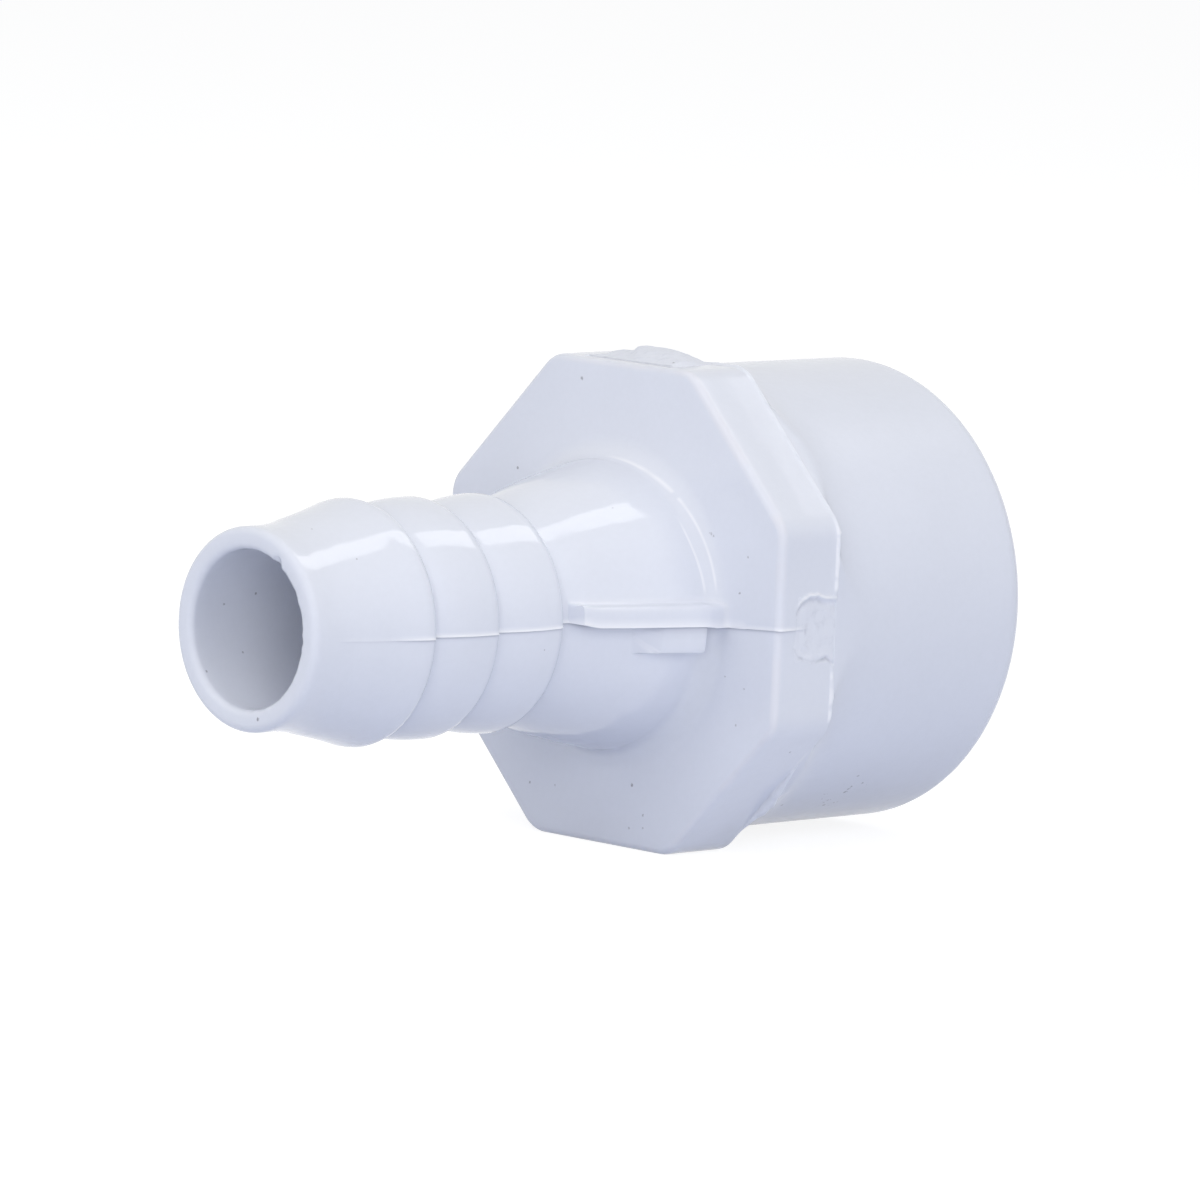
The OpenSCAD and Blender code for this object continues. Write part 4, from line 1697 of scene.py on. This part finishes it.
    def rear_edge(
        self, d: NodeDesk, place: object, x: object, z: object, out: object
    ) -> object:
        """Marks the flange's rear edge, pale where flash stood on it.

        Args:
            d: The node tree.
            place: Where to look.
            x: Distance from the tip.
            z: Height.
            out: How far out on the octagon it is.

        Returns:
            How pale each place is, 0 to 1.
        """
        rear = d.math("MULTIPLY", d.ramp(out, 0.972, 0.985),
                      self.near(d, x, FlangeSizes().back - 0.08, 0.22, 0.12))
        rear = d.math("MULTIPLY", rear, d.ramp(self.noise(d, place, 0.8, 2.0, 21.0), 0.3, 0.5))
        low = d.math("MULTIPLY", d.ramp(z, -2.6, -2.95), d.ramp(z, -6.0, -5.6))
        flash = d.math("MULTIPLY", d.ramp(z, -7.4, -8.4), 0.45)
        upper = d.math("MULTIPLY", d.ramp(z, 2.0, 2.3), d.ramp(z, 5.6, 6.8, 1.0, 0.2))
        rear = d.math("MULTIPLY", rear, d.math("MAXIMUM", d.math("MAXIMUM", upper, flash), low))
        return d.math("MULTIPLY", rear, 0.9)

    def painted_foot_highlights(self, d: NodeDesk, place: object, x: object, y: object, z: object) -> object:
        """Paints thin highlight arcs round the shoulder's foot.

        Args:
            d: The node tree.
            place: Where to look.
            x: Distance from the tip.
            y: Distance across.
            z: Height.

        Returns:
            How pale each place is, 0 to 1.
        """
        r = d.vector("LENGTH", d.join(0.0, y, z))
        turn = d.math("DEGREES", d.math("ARCTAN2", z, d.math("MULTIPLY", y, -1.0)))
        # This noise only breaks the painted highlight into patches.
        worn = d.ramp(self.noise(d, place, 0.5, 2.0, 81.0), 0.25, 0.5, 0.5, 1.0)
        half = d.ramp(turn, 40.0, 60.0, 0.1, 0.14)
        gap = d.math("ABSOLUTE", d.math("SUBTRACT", r, d.ramp(turn, 11.0, 90.0, 9.62, 9.07)))
        outer = d.math("SUBTRACT", 1.0, d.math("DIVIDE", gap, half), clamp=True)
        outer = d.math("MULTIPLY", outer, d.ramp(x, 29.2, 29.4))
        outer = d.math("MULTIPLY", outer, d.math("MULTIPLY", d.ramp(turn, 9.0, 16.0),
                                                 d.ramp(turn, 96.0, 78.0)))
        outer = d.math("MULTIPLY", outer, self.near(d, turn, 51.5, 1.0, 2.2))
        inner = self.near(d, x, d.ramp(turn, 10.0, 40.0, 29.3, 29.0), 0.1, 0.04)
        inner = d.math("MULTIPLY", inner, d.math("MULTIPLY", d.ramp(turn, 9.0, 14.0),
                                                 d.ramp(turn, 44.0, 34.0)))
        both = d.math("MAXIMUM", d.math("MULTIPLY", outer, 0.95), d.math("MULTIPLY", inner, 0.7))
        return d.math("MULTIPLY", both, worn)

    def scuffs(self, d: NodeDesk, place: object, x: object, y: object) -> object:
        """Marks dark scuffs low on the socket, and stray specks on the far side.

        Args:
            d: The node tree.
            place: Where to look.
            x: Distance from the tip.
            y: Distance across.

        Returns:
            How dark each place is, 0 to 1.
        """
        turned = d.add("ShaderNodeVectorRotate", rotation_type="Y_AXIS")
        d.feed(turned, Vector=place, Angle=math.radians(-24.0))
        flat = d.vector("MULTIPLY", turned.outputs[0], (1.3, 4.2, 4.2))
        lines = d.ramp(self.noise(d, flat, 1.0, 3.0, 41.0), 0.66, 0.74)
        near = d.ramp(d.vector("DISTANCE", place, (42.6, -8.4, -11.6)), 2.6, 0.7)
        scuff = d.math("MULTIPLY", d.math("MULTIPLY", lines, near), 0.75)
        cells = d.add("ShaderNodeTexVoronoi")
        d.feed(cells, Vector=place, Scale=0.3, Randomness=1.0)
        spot = d.math("DIVIDE", cells.outputs["Distance"], 0.3)
        size = d.ramp(d.split(cells.outputs["Color"])[0], 0.55, 1.0, 0.0, 0.14)
        stray = d.math("LESS_THAN", spot, size)
        far = d.ramp(d.math("SUBTRACT", y, d.math("MULTIPLY", x, 0.04)), 4.0, 6.0)
        stray = d.math("MULTIPLY", d.math("MULTIPLY", stray, far), 0.5)
        return d.math("MAXIMUM", scuff, stray)

    def relief(self, d: NodeDesk, place: object, scar: object) -> object:
        """Bends the surface by the mould's fine waviness and the torn patch's roughness.

        Args:
            d: The node tree.
            place: Where to look.
            scar: 1 on the torn patch.

        Returns:
            The bent normal.
        """
        waves = d.math("MULTIPLY", self.noise(d, place, 0.75, 1.0, 51.0), 0.018)
        fine = d.math("MULTIPLY", self.noise(d, place, 5.0, 2.0, 61.0), 0.0012)
        rags = d.math("MULTIPLY", scar, 0.03)
        rags = d.math("MULTIPLY", self.noise(d, place, 2.2, 4.0, 71.0), rags)
        height = d.math("ADD", d.math("ADD", waves, fine), rags)
        bump = d.feed(d.add("ShaderNodeBump"), Strength=1.0, Distance=MM, Height=height)
        return bump.outputs[0]


# The set


@dataclass(frozen=True)
class SoftBox:
    """A rectangular studio lamp.

    Power is in watts, and spin turns the lamp about its own axis, in degrees. A lamp
    that isn't mirrored lights the fitting but leaves no highlight on it.
    """

    name: str
    place: Spot
    size: tuple[float, float]
    power: float
    spin: float = 0.0
    mirrored: bool = False

    def build(self) -> bpy.types.Object:
        """Hangs the lamp.

        Returns:
            The lamp.
        """
        lamp = bpy.data.lights.new(self.name, "AREA")
        lamp.shape = "RECTANGLE"
        lamp.size, lamp.size_y = self.size
        lamp.energy = self.power
        obj = bpy.data.objects.new(self.name, lamp)
        bpy.context.scene.collection.objects.link(obj)
        obj.location = self.place
        way = (-Vector(self.place)).to_track_quat("-Z", "Y")
        obj.rotation_mode = "QUATERNION"
        obj.rotation_quaternion = way @ Quaternion((0.0, 0.0, 1.0), math.radians(self.spin))
        obj.visible_glossy = self.mirrored
        return obj


@dataclass(frozen=True)
class Studio:
    """The camera, the floor, the backdrop and the lamps."""

    eye: Spot = (-356.0, -386.3, 65.5)
    right: Spot = (0.7110, -0.7017, 0.0449)
    up: Spot = (0.0518, 0.1159, 0.9919)
    lens: float = 270.0
    floor_z: float = -14.85
    floor_white: float = 0.87
    shade: float = 0.3
    bounce: Rgba = (0.63, 0.67, 0.8, 1.0)
    ambient: float = 0.3
    air: Rgba = (0.93, 0.95, 1.0, 1.0)
    white: Rgba = (1.0, 1.0, 1.0, 1.0)

    def camera(self) -> bpy.types.Object:
        """Sets up the camera at the photograph's angle.

        Returns:
            The camera.
        """
        data = bpy.data.cameras.new("camera")
        data.lens = self.lens
        data.sensor_width = 36.0
        data.sensor_fit = "HORIZONTAL"
        data.clip_start, data.clip_end = 0.01, 10.0
        cam = bpy.data.objects.new("camera", data)
        bpy.context.scene.collection.objects.link(cam)
        right, up = Vector(self.right).normalized(), Vector(self.up)
        back = right.cross(up).normalized()
        up = back.cross(right).normalized()
        turn = Matrix((right, up, back)).transposed().to_4x4()
        eye = Vector((self.eye[0] + TIP_X, self.eye[1], self.eye[2])) * MM
        cam.matrix_world = Matrix.Translation(eye) @ turn
        bpy.context.scene.camera = cam
        return cam

    def shown(self, desk: NodeDesk) -> bpy.types.NodeSocket:
        """Tells the rays that show the background, straight or in a gloss, from the rest.

        Args:
            desk: The node tree that asks.

        Returns:
            1 for those rays and 0 for the light that the background casts.
        """
        path = desk.add("ShaderNodeLightPath").outputs
        seen = desk.math("ADD", path["Is Camera Ray"], path["Is Glossy Ray"], clamp=True)
        return desk.math("ADD", seen, path["Is Transmission Ray"], clamp=True)

    def floor(self) -> bpy.types.Object:
        """Lays the floor, which shows white with the fitting's soft shadow on it.

        Returns:
            The floor.
        """
        mesh = bpy.data.meshes.new("floor")
        half, z = 1.5, self.floor_z * MM
        mesh.from_pydata(
            [(-half, -half, z), (half, -half, z), (half, half, z), (-half, half, z)],
            [], [(0, 1, 2, 3)],
        )
        obj = bpy.data.objects.new("floor", mesh)
        bpy.context.scene.collection.objects.link(obj)
        made = bpy.data.materials.new("white_floor")
        made.use_nodes = True
        made.node_tree.nodes.clear()
        d = NodeDesk(made.node_tree)
        matt = d.feed(d.add("ShaderNodeBsdfDiffuse"), Color=self.bounce)
        shade = d.feed(d.add("ShaderNodeBsdfDiffuse"), Color=(self.shade,) * 3 + (1.0,))
        glow = d.feed(
            d.add("ShaderNodeEmission"), Color=self.white, Strength=self.floor_white
        )
        white = d.feed(d.add("ShaderNodeAddShader"), _0=shade.outputs[0], _1=glow.outputs[0])
        mix = d.feed(d.add("ShaderNodeMixShader"), Fac=self.shown(d), _1=matt.outputs[0],
                     _2=white.outputs[0])
        d.feed(d.add("ShaderNodeOutputMaterial"), Surface=mix.outputs[0])
        mesh.materials.append(made)
        return obj

    def world(self) -> None:
        """Sets the light that comes from all round."""
        world = bpy.data.worlds.new("studio")
        bpy.context.scene.world = world
        world.use_nodes = True
        world.node_tree.nodes.clear()
        d = NodeDesk(world.node_tree)
        around = d.feed(
            d.add("ShaderNodeBackground"), Color=self.air, Strength=self.ambient
        )
        white = d.feed(d.add("ShaderNodeBackground"), Color=self.white, Strength=1.0)
        mix = d.feed(d.add("ShaderNodeMixShader"), Fac=self.shown(d),
                     _1=around.outputs[0], _2=white.outputs[0])
        d.feed(d.add("ShaderNodeOutputWorld"), Surface=mix.outputs[0])

    def lamps(self) -> list[bpy.types.Object]:
        """Hangs the lamps.

        Returns:
            The lamps.
        """
        boxes = (
            SoftBox("key_box", (0.329, -0.084, 0.6122), (0.2, 0.42), 0.55, 20.0, mirrored=True),
            SoftBox("top_box", (-0.2, 0.1, 0.66), (0.4, 0.4), 0.78),
            SoftBox("left_top_box", (-0.427, -0.142, 0.534), (0.4, 0.4), 0.92),
            SoftBox("camera_side_box", (-0.481, -0.481, 0.172), (0.4, 0.4), 1.36),
            SoftBox("right_box", (0.16, -0.66, 0.16), (0.4, 0.5), 1.15),
            SoftBox("left_back_box", (-0.64, 0.25, 0.107), (0.4, 0.4), 0.61),
        )
        return [box.build() for box in boxes]


def main() -> None:
    """Builds the fitting and its set."""
    logging.basicConfig(level=logging.INFO, format="%(name)s: %(message)s")
    bpy.context.scene.view_settings.view_transform = "Standard"
    pvc = GlossyPvc().material("glossy_white_pvc")
    body = MouldedBody().build(pvc)
    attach(body, BODY)
    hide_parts(NODE)
    stub = GateStub().build(GlossyPvc(roughness=0.2).material("torn_white_pvc", torn=True))
    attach(stub, BODY)
    studio = Studio()
    studio.camera()
    studio.floor()
    studio.world()
    studio.lamps()


if __name__ == "__main__":
    main()
